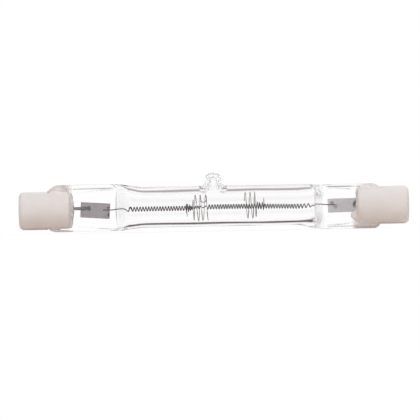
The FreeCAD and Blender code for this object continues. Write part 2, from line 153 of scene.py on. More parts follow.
class WireSettings(bpy.types.PropertyGroup):
    """Sizes and colours of the filament, the supports, the foils and the contacts."""

    coil_radius: length(0.42, "Radius of the coil at the middle of its wire")
    coil_wire: length(0.107, "Radius of the filament's wire")
    coil_pitch: length(0.5555, "Distance between turns at the coil's middle")
    low_lift: length(0.08, "How high the coil's left part lies above the line of the caps")
    high_lift: length(0.26, "How high the coil's right part lies above the line of the caps")
    support_wire: length(0.075, "Radius of the supports' wire")
    lead_radius: length(0.325, "Radius of the outer leads")
    # Painted shade: the filament's outer faces and the supports' tight turns are painted near black
    tungsten: colour((0.03, 0.015, 0.016), "the filament outside its coil")
    # Painted light: the filament's inner faces are painted paler than its outer ones
    coil_painted_light_inside: colour((0.2, 0.15, 0.15), "the filament inside its coil")
    leg: colour((0.3, 0.265, 0.26), "the filament's legs")
    # Painted shade on the supports' outer faces and painted light on their inner faces
    support: colour((0.13, 0.105, 0.1), "the supports outside their loops")
    support_painted_light_inside: colour((0.6, 0.56, 0.54), "the supports inside their loops")
    # Painted highlight on the supports' loops
    loop_painted_highlight: colour((0.85, 0.8, 0.78), "the supports where they catch the light")
    foil: colour((0.63, 0.56, 0.595), "the left sealing foil")
    # Painted light: the right foil is the same molybdenum as the left one, only painted paler
    right_foil_painted_light: colour((0.95, 0.91, 0.93), "the right sealing foil")
    foil_cloud: colour((0.8, 0.78, 0.8), "the foils' clouds")
    foil_stripe: colour((0.25, 0.22, 0.24), "the foils' stripes")
    dark_weld_patch: colour((0.09, 0.07, 0.08), "the welds")
    lead: colour((0.27, 0.25, 0.25), "the outer leads")
    nickel: colour((0.62, 0.59, 0.54), "the contacts")
    worn_nickel: colour((0.4, 0.36, 0.31), "the contacts where they are worn")


class StageSettings(bpy.types.PropertyGroup):
    """Camera and light."""

    frame_width: length(84.46, "Width of the picture at the bulb")
    distance: length(900.0, "Distance from the camera to the bulb")
    aim_along: length(-0.79, "Where the camera aims along the bulb")
    aim_up: length(-0.41, "Where the camera aims above the line of the caps")
    roll: FloatProperty(description="Roll of the camera", default=math.radians(1.05), subtype="ANGLE")
    floor: colour((0.88, 0.8, 0.74), "what the floor throws back")
    seen_floor: colour((0.98, 0.97, 0.96), "the floor as the camera sees it")
    over_tone: colour((0.36, 0.31, 0.33), "the dim zone above that the quartz shows")
    under_tone: colour((0.065, 0.025, 0.035), "the dim zone below that the quartz shows")
    soft_level: amount(0.3, "Strength of the light from all round")


def of_side(settings, side, name):
    """Return the setting of one side of the bulb."""
    return getattr(settings, f"{side}_{name}")


# Materials


class Shade:
    """A socket of a node tree that takes part in Python's arithmetic."""

    def __init__(self, nodes, socket):
        self.nodes = nodes
        self.socket = socket

    def __add__(self, other):
        return self.nodes.maths("ADD", self, other)

    def __sub__(self, other):
        return self.nodes.maths("SUBTRACT", self, other)

    def __rsub__(self, other):
        return self.nodes.maths("SUBTRACT", other, self)

    def __mul__(self, other):
        return self.nodes.maths("MULTIPLY", self, other)

    def __truediv__(self, other):
        return self.nodes.maths("DIVIDE", self, other)

    def __abs__(self):
        return self.nodes.maths("ABSOLUTE", self)

    __radd__ = __add__
    __rmul__ = __mul__


class Nodes:
    """A node tree under construction."""

    def __init__(self, tree):
        self.tree = tree
        tree.nodes.clear()

    def add(self, kind, settings=None, inputs=None, output=0):
        """Add a node, set it up, feed its sockets and return one of its outputs."""
        node = self.tree.nodes.new(kind)
        for name, value in (settings or {}).items():
            setattr(node, name, value)
        for name, value in (inputs or {}).items():
            socket = node.inputs[name]
            if isinstance(value, Shade):
                self.tree.links.new(value.socket, socket)
            elif isinstance(socket.default_value, float):
                socket.default_value = value
            else:
                opaque = (1.0,) * (len(socket.default_value) - len(value))
                socket.default_value = (*value, *opaque)
        return Shade(self, node.outputs[output]) if node.outputs else None

    def several(self, kind, names, inputs=None):
        """Add a node and return several of its outputs."""
        outputs = self.add(kind, None, inputs).socket.node.outputs
        return [Shade(self, outputs[name]) for name in names]

    def maths(self, operation, *values):
        return self.add("ShaderNodeMath", {"operation": operation}, dict(enumerate(values)))

    def distance(self, first, second):
        return self.maths("SQRT", first * first + second * second)

    def noise(self, place, scale, detail=2.0, roughness=0.5):
        inputs = {"Vector": place, "Scale": scale, "Detail": detail, "Roughness": roughness}
        return self.add("ShaderNodeTexNoise", {"noise_dimensions": "3D"}, inputs)

    def ease(self, value, start, end, low=0.0, high=1.0):
        """Return a value that goes smoothly from low to high between two places."""
        inputs = {"Value": value, "From Min": start, "From Max": end, "To Min": low, "To Max": high}
        return self.add("ShaderNodeMapRange", {"interpolation_type": "SMOOTHSTEP"}, inputs)

    def zone(self, value, rising, falling):
        """Return 1 between two soft limits and 0 outside them."""
        return self.ease(value, *rising) * self.ease(value, *falling)

    def blend(self, share, first, second):
        """Return a colour between two others."""
        inputs = {"Factor": share, 6: first, 7: second}
        return self.add("ShaderNodeMix", {"data_type": "RGBA"}, inputs, output=2)

    def bump(self, height, strength, distance):
        inputs = {"Height": height, "Strength": strength, "Distance": distance}
        return self.add("ShaderNodeBump", None, inputs)

    def place(self):
        """Return the place on the bulb, in metres."""
        return self.add("ShaderNodeTexCoord", output="Object")

    def axes(self, vector):
        """Return the three numbers of a vector."""
        return self.several("ShaderNodeSeparateXYZ", range(3), {0: vector})

    def rays(self):
        """Return whether a ray comes from the camera, went through quartz or was mirrored."""
        names = ("Is Camera Ray", "Is Transmission Ray", "Is Glossy Ray")
        return self.several("ShaderNodeLightPath", names)


def new_finish(name, feed, *details):
    """Make a material from a function that returns a shader, or what feeds the main shader."""
    material = bpy.data.materials.new(name)
    material.use_nodes = True
    nodes = Nodes(material.node_tree)
    surface = feed(nodes, *details)
    if isinstance(surface, dict):
        surface = nodes.add("ShaderNodeBsdfPrincipled", None, surface)
    nodes.add("ShaderNodeOutputMaterial", None, {"Surface": surface})
    return material


# Shapes


def smooth(start, end, value):
    """Ease from 0 at start to 1 at end."""
    share = min(max((value - start) / (end - start), 0.0), 1.0)
    return share * share * (3.0 - 2.0 * share)


def mixed(first, second, share):
    return first + (second - first) * share


def through(stops, place):
    """Read a smooth curve through (place, value, ...) stops, given in rising order."""
    last = len(stops) - 1
    index = max(0, min(last - 1, sum(1 for stop in stops if stop[0] <= place) - 1))
    near, far = stops[index], stops[index + 1]
    before, after = stops[max(index - 1, 0)], stops[min(index + 2, last)]
    gap = far[0] - near[0]
    share = min(max((place - near[0]) / gap, 0.0), 1.0)
    square, cube = share * share, share**3
    values = []
    for channel in range(1, len(near)):
        leave = (far[channel] - before[channel]) / (far[0] - before[0]) * gap
        arrive = (after[channel] - near[channel]) / (after[0] - near[0]) * gap
        values.append(
            near[channel] * (2 * cube - 3 * square + 1)
            + leave * (cube - 2 * square + share)
            + far[channel] * (3 * square - 2 * cube)
            + arrive * (cube - square)
        )
    return values


def spaced(stops, spacings):
    """Return places along runs between stops, with a spacing for each run."""
    places = []
    for start, end, spacing in zip(stops, stops[1:], spacings):
        count = max(1, round((end - start) / spacing))
        places += [mixed(start, end, step / count) for step in range(count)]
    return places + [stops[-1]]


def circle(sides):
    """Return the cosine and the sine of evenly spaced angles."""
    angles = [2 * math.pi * step / sides for step in range(sides)]
    return [(math.cos(angle), math.sin(angle)) for angle in angles]


def skin(rings):
    """Return the points and faces of a closed skin over rings of equally many points."""
    count = len(rings[0])
    points = [point for ring in rings for point in ring]
    faces = []
    for ring in range(len(rings) - 1):
        low, high = ring * count, (ring + 1) * count
        for step in range(count):
            after = (step + 1) % count
            faces.append((low + step, low + after, high + after, high + step))
    faces.append(tuple(reversed(range(count))))
    faces.append(tuple(range(len(points) - count, len(points))))
    return points, faces


def inside_out(shape):
    """Return a shape whose faces look the other way."""
    points, faces = shape
    return points, [tuple(reversed(face)) for face in faces]


def joined(*parts):
    """Return several sets of points and faces as one."""
    points, faces = [], []
    for more_points, more_faces in parts:
        faces += [tuple(corner + len(points) for corner in face) for face in more_faces]
        points += more_points
    return points, faces


def swept(path, radius, sides):
    """Return a round wire along a path; radius is a number or one for each point."""
    radii = radius if isinstance(radius, list) else [radius] * len(path)
    around = circle(sides)
    rings = []
    across = None
    for index, point in enumerate(path):
        heading = (path[min(index + 1, len(path) - 1)] - path[max(index - 1, 0)]).normalized()
        if across is None:
            across = heading.orthogonal().normalized()
        across = (across - heading * across.dot(heading)).normalized()
        aside = heading.cross(across)
        rings.append([point + (across * cosine + aside * sine) * radii[index] for cosine, sine in around])
    return skin(rings)


def turned(profile, side, sides):
    """Return a piece turned about the caps' axis from a closed (along, radius) profile."""
    around = circle(sides)
    rings = []
    for along, radius in profile + profile[:1]:
        ring = []
        for cosine, sine in around:
            ring.append(Vector((SIDES[side] * along, radius * cosine, AXIS_HEIGHT + radius * sine)))
        rings.append(ring)
    points, faces = skin(rings)
    return points, faces[:-2]


def arc(centre_along, centre_radius, radius, start, end, steps):
    """Return points on an arc of a turned profile, with angles in degrees."""
    points = []
    for step in range(steps + 1):
        angle = math.radians(mixed(start, end, step / steps))
        points.append((centre_along + radius * math.cos(angle), centre_radius + radius * math.sin(angle)))
    return points


def face_outward(mesh):
    """Make all faces of a mesh look away from its inside."""
    work = bmesh.new()
    work.from_mesh(mesh)
    bmesh.ops.recalc_face_normals(work, faces=work.faces)
    work.to_mesh(mesh)
    work.free()


def new_mesh(name, points, faces):
    mesh = bpy.data.meshes.new(name)
    mesh.from_pydata(points, [], faces)
    return mesh


def new_object(name, data):
    thing = bpy.data.objects.new(name, data)
    bpy.context.scene.collection.objects.link(thing)
    return thing


def new_piece(name, shape, finish, replaced=None, hollow=False):
    """Add a smooth piece that rides on the bulb and stands for a CAD node."""
    mesh = new_mesh(name, *shape)
    mesh.update()
    if not hollow:
        face_outward(mesh)
    mesh.shade_smooth()
    mesh.materials.append(finish)
    piece = new_object(name, mesh)
    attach(piece, "root")
    if replaced:
        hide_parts(replaced)
    return piece


def dress(node, finish):
    """Give a CAD node that stays in sight its finish."""
    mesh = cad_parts[node].data
    mesh.materials.clear()
    mesh.materials.append(finish)


# Quartz envelope

QUARTZ_TURNS = 184
# Exhaust tip: share of its foot's radius, radius there, height above the tube
TIP_ALONG = -0.08 * MM
TIP_FOOT = 3.0 * MM
TIP_PROFILE = [
    (0.0, 0.0, 2.5 * MM),
    (0.2, *mm(0.95, 2.42)),
    (0.36, *mm(1.4, 2.02)),
    (0.47, *mm(1.54, 1.35)),
    (0.56, *mm(1.63, 0.8)),
    (0.66, *mm(1.8, 0.42)),
    (0.78, *mm(2.15, 0.17)),
    (0.9, *mm(2.6, 0.04)),
    (1.0, 3.0 * MM, 0.0),
]
# Its hollow: share of its mouth's radius, radius there, height above the bore
HOLLOW_MOUTH = 2.0 * MM
HOLLOW_PROFILE = [
    (0.0, 0.0, 2.8 * MM),
    (0.19, *mm(0.6, 2.7)),
    (0.35, *mm(0.95, 2.25)),
    (0.47, *mm(1.02, 1.6)),
    (0.59, *mm(1.1, 1.05)),
    (0.7, *mm(1.25, 0.6)),
    (0.81, *mm(1.46, 0.24)),
    (0.91, *mm(1.74, 0.06)),
    (1.0, 2.0 * MM, 0.0),
]
# Lumps of the tip's melt, which end between two shares of its foot's radius
MELT_SEED = 10
TIP_LUMPS = 0.2 * MM
COARSE_LUMPS = 1250.0
FINE_LUMPS = 3100.0
FINE_SHARE = 0.45
LUMPS_END = (0.5, 0.8)
# Between these shares its base bends down to the tube
BASE_RUN = (0.4, 1.0)

# The tip's finish, by squared distance from its middle and by height
TIP_START = (TIP_FOOT**2, (TIP_FOOT * 0.88) ** 2)
TIP_HEIGHT = mm(8.0, 8.8)
FOOT_SPREAD = ((1.3 * MM) ** 2, (1.8 * MM) ** 2)
TIP_GRAIN = 60.0
TIP_ROUGHNESS = 0.22
# Thin haze over the end of the right squash, along the bulb
HAZE_START = mm(19.9, 20.6)
HAZE_END = mm(23.0, 22.4)
# It begins sooner above this height
HAZE_TOP = mm(8.3, 8.8)
HAZE_LEAD = 0.8 * MM
# Off the bulb's middle it goes over to the strength of the corners
HAZE_OFF = mm(1.0, 2.4)
# Where the seals go under their coats of cement
COATED_START = mm(27.2, 28.6)

# From the bore's end: where squash, widening, pressing and the rim's growth end
SQUASH_OVERRUN = 0.7 * MM
SPREAD_OVERRUN = 0.2 * MM
PRESS_RUN = mm(-0.5, 1.8)
RIM_RUN = 9.0 * MM
# Power of the left seal's sloped corner, and how much less the flat parts stray
CORNER_SLOPE = 1.2
FLAT_CALM = 0.5
# Flange along each seal's upper (True) and lower edge: width, half thickness
FLANGES = {
    ("left", True): mm(0.72, 0.7),
    ("left", False): mm(0.08, 1.2),
    ("right", True): mm(0.36, 0.7),
    ("right", False): mm(0.4, 0.7),
}
# Rounding of a seal's edge before and after pressing, and steps further in
EDGE_ROUNDING = mm(1.0, 0.06)
FLANGE_STEP = 0.26 * MM
RIM_STEP = 0.16 * MM

# Towards its ends the bore swells and rises, and flares and curves back above and below
BORE_SWELL = {"left": 0.4 * MM, "right": 0.1 * MM}
BORE_RISE = {"left": 0.13 * MM, "right": 0.05 * MM}
SWELL_RUN = mm(5.6, 1.4)
BORE_FLARE = {"left": mm(0.4, 0.4), "right": mm(0.25, 0.05)}
FLARE_RUN = mm(2.4, 0.4)
BORE_CURVE = {"left": (0.0, 0.0), "right": mm(1.3, 0.6)}
CURVE_LENGTH = 2.4 * MM
# The crevice at the bore's end
CREVICE_HALF = 0.045 * MM
CREVICE_SWELL = {"left": 0.0, "right": 0.55 * MM}
SWELL_TOP = (0.3, 0.9)
BLUNTNESS = 6
NOSE_LEAST = 0.0004

# Spacings of the rings, and how far from the ends and the tip they reach
FINE = 0.1 * MM
FINEST = 0.03 * MM
CLOSE = 0.2 * MM
OPEN = 0.5 * MM
WIDE = 0.8 * MM
SQUASH_REACH = 7.0 * MM
SEAL_FACE = 1.2 * MM
NOSE_REACH = 0.3 * MM
TIP_REACH = 3.2 * MM
HOLLOW_REACH = 2.8 * MM

# Scales and seeds of the walls' stray
STRAY_ALONG = 150.0
STRAY_AROUND = 0.8
OUTSIDE_SEED = 3.0
BORE_SEED = 9.0


def quartz_finish(nodes, settings):
    """Clear quartz, with a grainy tip and a thin haze where light would be caught in it."""
    place = nodes.place()
    ripple = nodes.noise(place, scale=260.0, detail=1.0)
    along, depth, up = nodes.axes(place)
    off_along = along - TIP_ALONG
    spread = off_along * off_along + depth * depth
    near_tip = nodes.ease(spread, *TIP_START) * nodes.ease(up, *TIP_HEIGHT)
    tip_haze = nodes.ease(spread, *FOOT_SPREAD, settings.tip_haze, settings.foot_haze)
    ripple += near_tip * nodes.noise(place, scale=2200.0, detail=2.0) * TIP_GRAIN
    sooner = nodes.ease(up, *HAZE_TOP, 0.0, HAZE_LEAD)
    squash = nodes.ease(along + sooner, *HAZE_START) * nodes.ease(along, *HAZE_END)
    squash *= nodes.ease(abs(up - AXIS_HEIGHT), *HAZE_OFF, settings.middle_haze, settings.squash_haze)
    coated = nodes.ease(abs(along), *COATED_START)
    clear = (1.0 - near_tip * tip_haze) * (1.0 - squash)
    return {
        "Base Color": settings.tint,
        "Roughness": near_tip * TIP_ROUGHNESS,
        "Alpha": clear * (1.0 - coated * settings.coated_haze),
        "IOR": settings.bend,
        "Transmission Weight": 1.0,
        "Normal": nodes.bump(ripple, strength=0.12, distance=0.08 * MM),
    }


def wander(along, cosine, sine, seed, settings):
    """Return how far a hand-blown wall strays from its true radius."""
    place = Vector((along * STRAY_ALONG, cosine * STRAY_AROUND + seed, sine * STRAY_AROUND))
    return noise.noise(place) * settings.wobble


def quartz_outside(settings, around):
    """Return the skin of the tube, its pinch seals and its exhaust tip."""
    left, right = -settings.left_bore_end, settings.right_bore_end
    stops = [-PINCH_END, -PINCH_END + settings.corner_length, left - SEAL_FACE, left + SQUASH_REACH]
    stops += [-TIP_REACH, TIP_REACH]
    stops += [right - SQUASH_REACH, right + SEAL_FACE, PINCH_END - settings.corner_length, PINCH_END]
    places = spaced(stops, (FINE, WIDE, CLOSE, OPEN, FINE, OPEN, CLOSE, WIDE, FINE))
    return skin([outside_ring(settings, along, around) for along in places])


def outside_ring(settings, along, around):
    """Return one ring of the outside: round along the tube, flat along the seals."""
    side = "left" if along < 0 else "right"
    out = abs(along)
    bore_end = of_side(settings, side, "bore_end")
    start = bore_end - of_side(settings, side, "squash")
    flat = smooth(start, bore_end + SQUASH_OVERRUN, out)
    spread = smooth(bore_end - settings.spread_length, bore_end + SPREAD_OVERRUN, out)
    pressed = smooth(bore_end + PRESS_RUN[0], bore_end + PRESS_RUN[1], out)
    whole = mixed(settings.tube_radius, of_side(settings, side, "plate_half"), spread)
    rise = mixed(settings.tube_rise, of_side(settings, side, "plate_rise"), spread)
    rim = settings.rim_width * smooth(bore_end, bore_end + RIM_RUN, out)
    into_corner = max((out - PINCH_END) / settings.corner_length + 1.0, 0.0)
    rounded = settings.corner_drop * (1.0 - math.sqrt(max(1.0 - into_corner**2, 0.0)))
    sloped = settings.corner_drop * into_corner**CORNER_SLOPE
    ring = []
    for cosine, sine in around:
        half = whole - (sloped if side == "left" and sine > 0 else rounded)
        up = half * sine
        round_depth = settings.tube_radius * abs(cosine)
        depth = mixed(round_depth, seal_depth(settings, side, up, half, rim, pressed), flat)
        stray = wander(along, cosine, sine, OUTSIDE_SEED, settings) * (1.0 - FLAT_CALM * flat)
        depth *= 1.0 + stray / settings.tube_radius
        point = Vector((along, math.copysign(depth, cosine), up + stray * sine))
        point = drawn_up(point, TIP_PROFILE, TIP_FOOT, settings.tube_radius)
        ring.append(point + Vector((0.0, 0.0, AXIS_HEIGHT + rise)))
    return ring


def seal_depth(settings, side, up, half, rim, pressed):
    """Return half the thickness of a pinch seal: thin flange, thicker rim, then the web."""
    from_edge = half - abs(up)
    flange, flange_half = FLANGES[side, up > 0]
    share = min(from_edge / mixed(*EDGE_ROUNDING, pressed), 1.0)
    edge_half = mixed(settings.rim_half, flange_half, pressed)
    depth = edge_half * math.sqrt(max(1.0 - (1.0 - share) ** 2, 0.0))
    depth = mixed(depth, settings.rim_half, smooth(flange, flange + FLANGE_STEP, from_edge))
    rim_end = flange + FLANGE_STEP + rim
    return mixed(depth, settings.web_half, smooth(rim_end, rim_end + RIM_STEP, from_edge))


def drawn_up(point, profile, foot, tube_radius):
    """Move a point on top of a tube up onto the exhaust tip, with the lumps of its melt."""
    off_along = point.x - TIP_ALONG
    spread = math.hypot(off_along, point.y)
    share = spread / foot
    if point.z < 0 or share >= 1.0:
        return point
    radius, height = through(profile, share)
    grow = radius / spread if spread > 0 else 0.0
    along, depth = TIP_ALONG + off_along * grow, point.y * grow
    melt = Vector((along, depth, height))
    lumps = noise.noise_vector(melt * COARSE_LUMPS) * TIP_LUMPS
    lumps += noise.noise_vector(melt * FINE_LUMPS) * TIP_LUMPS * FINE_SHARE
    lumps *= 1.0 - smooth(*LUMPS_END, share)
    tube_top = math.sqrt(max(tube_radius**2 - depth**2, 0.0))
    base = mixed(tube_radius, tube_top, smooth(*BASE_RUN, share))
    return Vector((along, depth, base + height)) + lumps


def quartz_bore(settings, around):
    """Return the skin of the bore, which closes to a thin crevice at both ends."""
    left, right = -settings.left_bore_end, settings.right_bore_end
    stops = [left, left + NOSE_REACH, left + SQUASH_REACH, -HOLLOW_REACH]
    stops += [HOLLOW_REACH, right - SQUASH_REACH, right - NOSE_REACH, right]
    places = spaced(stops, (FINEST, CLOSE, OPEN, FINE, OPEN, CLOSE, FINEST))
    return skin([bore_ring(settings, along, around) for along in places])


def bore_ring(settings, along, around):
    """Return one ring of the bore: round along the tube, closing towards its end."""
    side = "left" if along < 0 else "right"
    out = abs(along)
    end = of_side(settings, side, "bore_end")
    start = end - of_side(settings, side, "squash")
    closing = smooth(start, end + SQUASH_OVERRUN, out) / smooth(start, end + SQUASH_OVERRUN, end)
    near_end = smooth(end - SWELL_RUN[0], end - SWELL_RUN[1], out)
    half = settings.bore_radius + BORE_SWELL[side] * near_end
    flaring = smooth(end - FLARE_RUN[0], end - FLARE_RUN[1], out)
    curving = smooth(end - CURVE_LENGTH, end, out)
    rise = settings.tube_rise - settings.bore_drop + BORE_RISE[side] * near_end
    ring = []
    for cosine, sine in around:
        stray = wander(along, cosine, sine, BORE_SEED, settings)
        below = sine <= 0
        up = (half + stray + BORE_FLARE[side][below] * flaring) * sine
        crevice = CREVICE_HALF + CREVICE_SWELL[side] * smooth(*SWELL_TOP, sine)
        nose = math.sqrt(max(1.0 - (max(0.0, out - end + crevice) / crevice) ** 2, NOSE_LEAST))
        blunt = math.copysign(math.sqrt(1.0 - sine**BLUNTNESS), cosine)
        depth = mixed((settings.bore_radius + stray) * cosine, crevice * blunt, closing) * nose
        back = BORE_CURVE[side][below] * sine * sine * curving
        point = drawn_up(Vector((along, depth, up)), HOLLOW_PROFILE, HOLLOW_MOUTH, settings.bore_radius)
        ring.append(point + Vector((-SIDES[side] * back, 0.0, AXIS_HEIGHT + rise)))
    return ring


class BULB_OT_quartz(bpy.types.Operator):
    """Blow the quartz tube, press its seals and melt off its exhaust tip"""

    bl_idname = "bulb.quartz"
    bl_label = "Quartz Envelope"

    def execute(self, context):
        settings = context.scene.bulb_quartz
        finish = new_finish("clear_quartz", quartz_finish, settings)
        noise.seed_set(MELT_SEED)
        around = circle(QUARTZ_TURNS)
        shape = joined(quartz_outside(settings, around), inside_out(quartz_bore(settings, around)))
        new_piece("quartz_glass", shape, finish, "quartz_envelope", hollow=True)
        return {"FINISHED"}


# Ceramic caps

CAP_SIDES = 112
EDGE_STEPS = 8
RIM_STEPS = 6
MOUTH_BEVEL = 0.25 * MM
MOUTH_SOFTNESS = 0.3
CAVITY_ROOM = 0.05 * MM
CAVITY_BEVEL = 0.1 * MM
# The slot's cutter reaches past the cap's inner end and past the seal
SLOT_START = 1.0 * MM
SLOT_ROOM = 0.3 * MM
SLOT_SOFTNESS = 0.12 * MM
SHARP_CAP_EDGE = math.radians(50)


def ceramic_finish(nodes, settings):
    """Matt off-white ceramic with faint clouds and specks."""
    place = nodes.place()
    clouds = nodes.noise(place, scale=330.0, detail=3.0)
    grain = nodes.noise(place, scale=6500.0, detail=2.0)
    tone = nodes.blend(nodes.ease(clouds, 0.35, 0.75), settings.pale, settings.warm)
    speck = nodes.ease(nodes.noise(place, scale=2600.0, detail=1.0), 0.7, 0.78, high=0.12)
    return {
        "Base Color": nodes.blend(speck, tone, settings.speck),
        "Roughness": 0.55 + clouds * 0.2,
        "Subsurface Weight": 0.15,
        "Subsurface Radius": mm(1.2, 0.9, 0.7),
        "Subsurface Scale": 1.0,
        "Normal": nodes.bump(grain, strength=0.25, distance=0.04 * MM),
    }


def cap_profile(settings, side):
    """Return the turned profile of a cap: rounded outside, lipped recess and cavity."""
    edge, rim = settings.edge_radius, of_side(settings, side, "rim_radius")
    recess = settings.recess_radius
    cavity = CONTACT_RADIUS + CAVITY_ROOM
    softness = MOUTH_BEVEL * MOUTH_SOFTNESS
    profile = [(CAP_OUTER_END, recess + MOUTH_BEVEL)]
    profile += arc(CAP_OUTER_END - edge, CAP_RADIUS - edge, edge, 0, 90, EDGE_STEPS)
    profile += arc(CAP_INNER_END + rim, CAP_RADIUS - rim, rim, 90, 180, RIM_STEPS)
    profile += [(CAP_INNER_END, cavity + CAVITY_BEVEL), (CAP_INNER_END + CAVITY_BEVEL, cavity)]
    profile += [(CONTACT_HIGH.x, cavity), (CONTACT_HIGH.x, recess)]
    profile += [(CAP_OUTER_END - MOUTH_BEVEL, recess), (CAP_OUTER_END - softness, recess + softness)]
    return profile


def box_shape(low, high):
    """Return the points and faces of a box."""
    points = [Vector((x, y, z)) for x in (low.x, high.x) for y in (low.y, high.y) for z in (low.z, high.z)]
    faces = [(0, 1, 3, 2), (4, 6, 7, 5), (0, 4, 5, 1), (2, 3, 7, 6), (0, 2, 6, 4), (1, 5, 7, 3)]
    return points, faces


def cut_slot(piece, side, settings):
    """Cut the slot for the pinch seal through a cap."""
    ends = sorted((SIDES[side] * (CAP_INNER_END - SLOT_START), SIDES[side] * (PINCH_END + SLOT_ROOM)))
    low = Vector((ends[0], -settings.slot_half, AXIS_HEIGHT - 2 * CAP_RADIUS))
    high = Vector((ends[1], settings.slot_half, AXIS_HEIGHT + 2 * CAP_RADIUS))
    cutter = new_object("slot_cutter", new_mesh("slot_cutter", *box_shape(low, high)))
    slot = piece.modifiers.new("slot", "BOOLEAN")
    slot.operation = "DIFFERENCE"
    slot.solver = "EXACT"
    slot.object = cutter
    softened = piece.modifiers.new("soft_edges", "BEVEL")
    softened.width = SLOT_SOFTNESS
    softened.segments = 3
    softened.limit_method = "ANGLE"
    softened.angle_limit = SHARP_CAP_EDGE
    seen = piece.evaluated_get(bpy.context.evaluated_depsgraph_get())
    finished = bpy.data.meshes.new_from_object(seen)
    piece.modifiers.clear()
    piece.data = finished
    bpy.data.objects.remove(cutter)
    finished.shade_smooth()
    finished.set_sharp_from_angle(angle=SHARP_CAP_EDGE)


class BULB_OT_caps(bpy.types.Operator):
    """Press the ceramic caps"""

    bl_idname = "bulb.caps"
    bl_label = "Ceramic Caps"

    def execute(self, context):
        settings = context.scene.bulb_ceramic
        finish = new_finish("steatite_ceramic", ceramic_finish, settings)
        for side in SIDES:
            shape = turned(cap_profile(settings, side), side, CAP_SIDES)
            piece = new_piece(f"{side}_ceramic_cap", shape, finish, f"{side}_cap")
            cut_slot(piece, side, settings)
        return {"FINISHED"}


# Cement

CEMENT_LUMPS = 900.0
# The bead along a seal's face, from the cap's inner end and off the seal
BEAD_STEPS = 60
BEAD_SPAN = CAP_RADIUS * 0.93
BEAD_TAPER_LEAST = 0.02
BEAD_HEIGHT = 0.55 * MM
BEAD_INSIDE = 0.7 * MM
BEAD_FRONT = 0.15 * MM
BEAD_SUNK = -0.25 * MM
BEAD_LIP = 0.02 * MM
BEAD_LEAST = 0.65
BEAD_LUMP = 0.7
# Shares of the bead's reach and of its height on its rounded front
BEAD_CURVE = [(0.62, 0.42), (0.25, 0.85)]
# A bulge of the bead on the right seal's front
BULGE_REACH = 1.1 * MM
BULGE_LOW = mm(-3.4, -2.3)
BULGE_HIGH = mm(-0.9, -1.6)
# The smear in the corner between a seal and its slot: off the seal's middle, up
SMEAR_PROFILE = [
    mm(0.9, 3.1),
    mm(1.95, 3.18),
    mm(1.9, 3.3),
    mm(1.62, 3.55),
    mm(1.38, 3.82),
    mm(1.2, 4.02),
    mm(0.9, 4.02),
]
SMEAR_ROOT = mm(1.1, 3.2)
# How far from the cap's inner end the smear begins, above (1) and below (-1)
SMEAR_START = {
    ("left", 1): 0.12 * MM,
    ("left", -1): 2.1 * MM,
    ("right", 1): 0.12 * MM,
    ("right", -1): 0.12 * MM,
}
# The smear's ends, spacing and lumps
SMEAR_GROWTH = mm(-0.2, 0.5)
SMEAR_FADE = 1.1 * MM
SMEAR_OVERRUN = 0.2 * MM
SMEAR_SPACING = 0.12 * MM
SMEAR_LUMP = 0.25
# The thin coat over a seal's end
COAT_TURNS = 96
COAT_REACH = 1.2 * MM
COAT_ROUNDING = 1.4 * MM
COAT_SPACINGS = mm(0.25, 0.1)
COAT_LUMP = 0.5
COAT_DEEPER = 0.045
COAT_HIGHER = 0.01
# Heights of the coat's low tone, its lowest edge and its clear top on the right
COAT_LOW = mm(5.5, 3.5)
COAT_EDGE = mm(0.9, 0.6)
COAT_HIGH = mm(7.2, 8.4)
COAT_HIGH_CLEAR = 0.75
# Where the coat ends along the bulb, how softly and how raggedly
COAT_END = 29.6 * MM
COAT_END_LOW = 1.7 * MM
COAT_END_RIGHT = 3.0 * MM
COAT_END_EDGE = 2.6 * MM
COAT_SOFT = 1.5 * MM
COAT_SOFT_LOW = 0.7 * MM
COAT_RAGGED = 1.2 * MM


def cement_finish(nodes, settings):
    """Gritty, matt cement."""
    place = nodes.place()
    grit = nodes.noise(place, scale=3800.0, detail=4.0, roughness=0.65)
    patches = nodes.noise(place, scale=700.0, detail=2.0)
    tone = nodes.blend(nodes.ease(patches, 0.35, 0.7), settings.cement, settings.cement_patch)
    return {
        "Base Color": nodes.blend(nodes.ease(grit, 0.58, 0.75, high=0.35), tone, settings.cement_grit),
        "Roughness": 0.9,
        "Normal": nodes.bump(grit, strength=0.6, distance=0.08 * MM),
    }


def coat_finish(nodes, settings):
    """Thin cement that lets the quartz show through towards its ragged end, paler underneath."""
    place = nodes.place()
    along, _, up = nodes.axes(place)
    grit = nodes.noise(place, scale=2600.0, detail=3.0)
    right = nodes.ease(along, *LEFT_TO_RIGHT)
    low = nodes.ease(up, *COAT_LOW)
    edge = nodes.ease(up, *COAT_EDGE) * (1.0 - right)
    end = COAT_END + low * (COAT_END_LOW - right * COAT_END_RIGHT) - edge * COAT_END_EDGE
    soft = COAT_SOFT - low * COAT_SOFT_LOW
    tone = nodes.blend(low, settings.coat, settings.low_coat)
    high = right * nodes.ease(up, *COAT_HIGH)
    fade = (abs(along) + (grit - 0.5) * COAT_RAGGED - end) / soft
    return {
        "Base Color": nodes.blend(nodes.ease(grit, 0.5, 0.75, high=0.3), tone, settings.coat_grit),
        "Roughness": 0.8,
        "Alpha": nodes.ease(fade, -1.0, 1.0) * (1.0 - high * COAT_HIGH_CLEAR),
        "Normal": nodes.bump(grit, strength=0.4, distance=0.06 * MM),
    }


